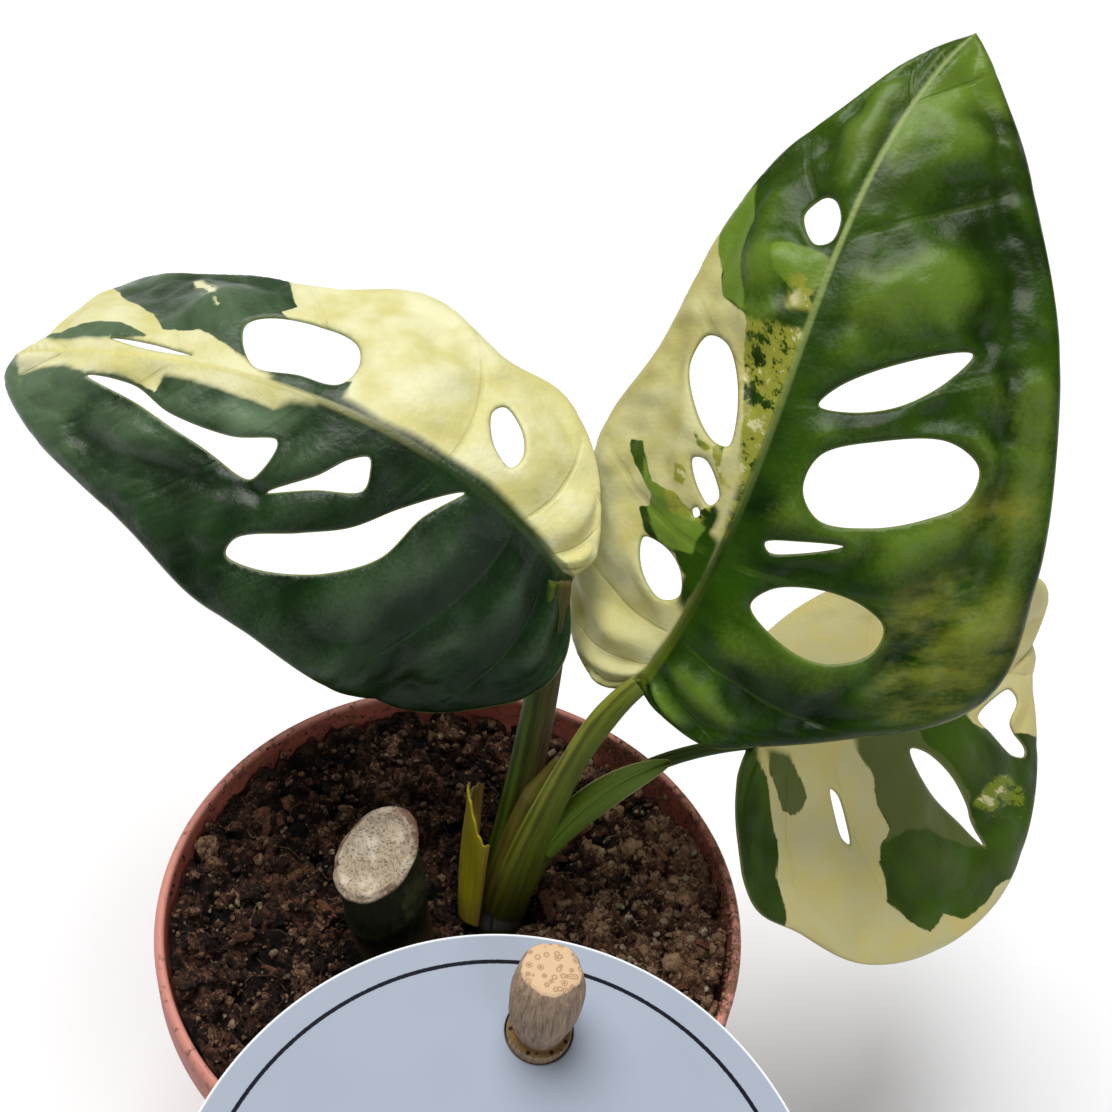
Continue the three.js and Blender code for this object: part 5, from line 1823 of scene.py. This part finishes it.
class VINE_OT_add_tag(bpy.types.Operator):
    """Add the round card tag and the wooden stick that pins it."""

    bl_idname = "vine.add_tag"
    bl_label = "Add Tag"

    def execute(self, context):
        tag = context.scene.vine_tag
        foot, end = np.array(STICK["foot"], float), np.array(STICK["end"], float)
        axis = unit(end - foot)
        self.card(tag, foot, axis)
        self.stick(tag, foot, end, axis)
        return {"FINISHED"}

    def card(self, tag, foot, axis):
        """The card: rings that widen from the stick's hole to the round edge, below and then above."""
        tilt = math.radians(CARD_TILT)
        forward = np.array((0, math.cos(tilt), math.sin(tilt)))
        up = np.array((0, -math.sin(tilt), math.cos(tilt)))
        centre = np.array(CARD_REST) + CARD_OFFSET[0] * np.array((1, 0, 0)) + CARD_OFFSET[1] * forward
        columns = 360
        angle = full_turn(columns)
        circle = np.cos(angle)[:, None] * (1, 0, 0) + np.sin(angle)[:, None] * forward
        radius, thick, bevel = tag.radius / MM, tag.thickness / MM, 0.2
        lean = axis / (axis @ up)
        across = unit(circle - (circle @ axis)[:, None] * axis) * (STICK["radius"] + CLEAR)
        hole = foot + lean * ((centre - foot) @ up) + across - lean * (across @ up)[:, None]
        outer = centre + radius * circle
        turn = np.linspace(0, np.pi / 2, 5)
        corner = np.column_stack([np.ones(5), bevel * (1 - np.sin(turn)), bevel * (1 - np.cos(turn))])
        face = [(share, bevel, 0) for share in (0, 0.005, 0.05, 0.3, 0.6, 0.9, 0.99)]
        below = np.array([(0, bevel, 0.1), *face, *corner])
        above = (below * (1, 1, -1) + (0, 0, thick))[::-1]
        rings = []
        for share, inset, height in np.concatenate([below, above]):
            ring = hole * (1 - share) + (outer - inset * circle) * share
            rings.append(ring + height * (lean * (1 - share) + up * share))
        faces = grid_faces(len(rings) + 1, columns, wrap=True) % (len(rings) * columns)
        material = card_finish(tag, centre, up)
        new_piece("tag_disc", np.concatenate(rings), faces, material, "tag_card")

    def stick(self, tag, foot, end, axis):
        """The stick: a turned shaft with a shoulder and an acorn head, its wood a little uneven."""
        shoulder = (STICK["shoulder"] - foot[2]) / axis[2]
        total = float(np.linalg.norm(end - foot))
        shaft = STICK["radius"]
        profile = [
            (0, 0), (shaft - 1, 0), (shaft, 1), (shaft, 20), (shaft, shoulder - 0.3),
            (shaft - 0.3, shoulder), (3.7, shoulder), (3.7, shoulder + 0.8), (4.5, shoulder + 3),
            (5.1, shoulder + 6.5), (5.2, shoulder + 9.5), (4.9, shoulder + 12.5),
            (4.1, total), (2, total + 0.05), (0, total),
        ]

        def wobble(at, angle):
            """Whittled sides: five flats and fine ribs, faded out in the shaft."""
            flats = 0.12 * np.cos(5 * angle + 0.12 * at) + 0.06 * np.sin(13 * angle + 0.5)
            return flats * smoothstep(shoulder, shoulder + 2, at) + 0.02 * np.sin(31 * angle)

        points, faces = turned(profile, 120, 0.5, wobble)
        height = points[:, 2].copy()
        radius = np.hypot(points[:, 0], points[:, 1])
        at_top = height > total - 0.3
        at_shoulder = (np.abs(height - shoulder) < 0.35) & (radius < shaft - 0.05)
        values = {
            "end": np.where(at_top | at_shoulder, 1.0, 0.0),
            "collar": np.where(height < shoulder + 1, 1.0, 0.0),
        }
        turn = np.array(Vector((0, 0, 1)).rotation_difference(Vector(axis)).to_matrix())
        placed = points @ turn.T + foot
        new_piece("tag_peg", placed, faces, wood_finish(tag), "tag_stick", values)


class VINE_OT_set_stage(bpy.types.Operator):
    """Add the pale floor, the soft lights and the camera."""

    bl_idname = "vine.set_stage"
    bl_label = "Set Stage"

    def light(self, name, power, place, size, tint):
        lamp = bpy.data.lights.new(name, "AREA")
        lamp.shape = "DISK"
        lamp.size = size
        lamp.energy = power
        lamp.color = tint
        holder = bpy.data.objects.new(name, lamp)
        bpy.context.scene.collection.objects.link(holder)
        holder.location = place
        aim = Vector(LAMP_AIM) - Vector(place)
        holder.rotation_euler = aim.to_track_quat("-Z", "Y").to_euler()

    def execute(self, context):
        stage = context.scene.vine_stage
        mesh = bpy.data.meshes.new("floor")
        corners = [(x * FLOOR_HALF, y * FLOOR_HALF, 0) for x, y in ((-1, -1), (1, -1), (1, 1), (-1, 1))]
        mesh.from_pydata(corners, [], [(0, 1, 2, 3)])
        floor = bpy.data.objects.new("floor", mesh)
        context.scene.collection.objects.link(floor)
        finish = Finish("floor", Roughness=0.9, Specular_IOR_Level=0.1)
        soft = finish.cloud(finish.place(), 400.0, 2)
        tone = finish.mix(soft * 0.3, stage.floor, srgb(250, 250, 250))
        mesh.materials.append(finish.paint(Base_Color=tone))

        world = bpy.data.worlds.new("studio")
        world.use_nodes = True
        background = world.node_tree.nodes["Background"]
        background.inputs["Color"].default_value = SKY
        background.inputs["Strength"].default_value = stage.sky
        context.scene.world = world
        for name, facts in LAMPS.items():
            self.light(name, power=getattr(stage, name), **facts)

        camera = bpy.data.cameras.new("camera")
        camera.lens = stage.lens
        camera.clip_start, camera.clip_end = 0.01, 50
        holder = bpy.data.objects.new("camera", camera)
        context.scene.collection.objects.link(holder)
        ahead = np.array((0, math.cos(stage.pitch), -math.sin(stage.pitch)))
        right = np.array((1.0, 0, 0))
        up = np.cross(right, ahead)
        lean_cos, lean_sin = math.cos(stage.roll), math.sin(stage.roll)
        right, up = lean_cos * right + lean_sin * up, lean_cos * up - lean_sin * right
        turn = Matrix(np.column_stack([right, up, -ahead]).tolist())
        holder.matrix_world = Matrix.Translation(CAMERA_PLACE) @ turn.to_4x4()
        context.scene.camera = holder
        context.scene.view_settings.view_transform = "Standard"
        return {"FINISHED"}


class VINE_PT_panel(bpy.types.Panel):
    """Lists the operators and their settings."""

    bl_idname = "VINE_PT_panel"
    bl_label = "Potted Vine"
    bl_space_type = "VIEW_3D"
    bl_region_type = "UI"
    bl_category = "Vine"

    def draw(self, context):
        for operator, settings in STEPS:
            self.layout.operator(operator.bl_idname)
            if settings:
                group = getattr(context.scene, settings)
                for key in group.bl_rna.properties.keys()[2:]:
                    self.layout.prop(group, key)


GROUPS = {
    "vine_pot": PotSettings,
    "vine_soil": SoilSettings,
    "vine_stems": StemSettings,
    "vine_leaf": LeafSettings,
    "vine_tag": TagSettings,
    "vine_stage": StageSettings,
}
STEPS = [
    (VINE_OT_set_stage, "vine_stage"),
    (VINE_OT_add_pot, "vine_pot"),
    (VINE_OT_add_soil, "vine_soil"),
    (VINE_OT_add_litter, None),
    (VINE_OT_add_cane, "vine_stems"),
    (VINE_OT_add_stalks, None),
    (VINE_OT_add_wraps, None),
    (VINE_OT_add_leaves, "vine_leaf"),
    (VINE_OT_add_tag, "vine_tag"),
]


def register():
    for group in GROUPS.values():
        bpy.utils.register_class(group)
    for name, group in GROUPS.items():
        setattr(bpy.types.Scene, name, PointerProperty(type=group))
    for operator, _ in STEPS:
        bpy.utils.register_class(operator)
    bpy.utils.register_class(VINE_PT_panel)


def unregister():
    bpy.utils.unregister_class(VINE_PT_panel)
    for operator, _ in reversed(STEPS):
        bpy.utils.unregister_class(operator)
    for name, group in reversed(GROUPS.items()):
        delattr(bpy.types.Scene, name)
        bpy.utils.unregister_class(group)


def main():
    register()
    for operator, _ in STEPS:
        family, name = operator.bl_idname.split(".")
        getattr(getattr(bpy.ops, family), name)()


if __name__ == "__main__":
    main()
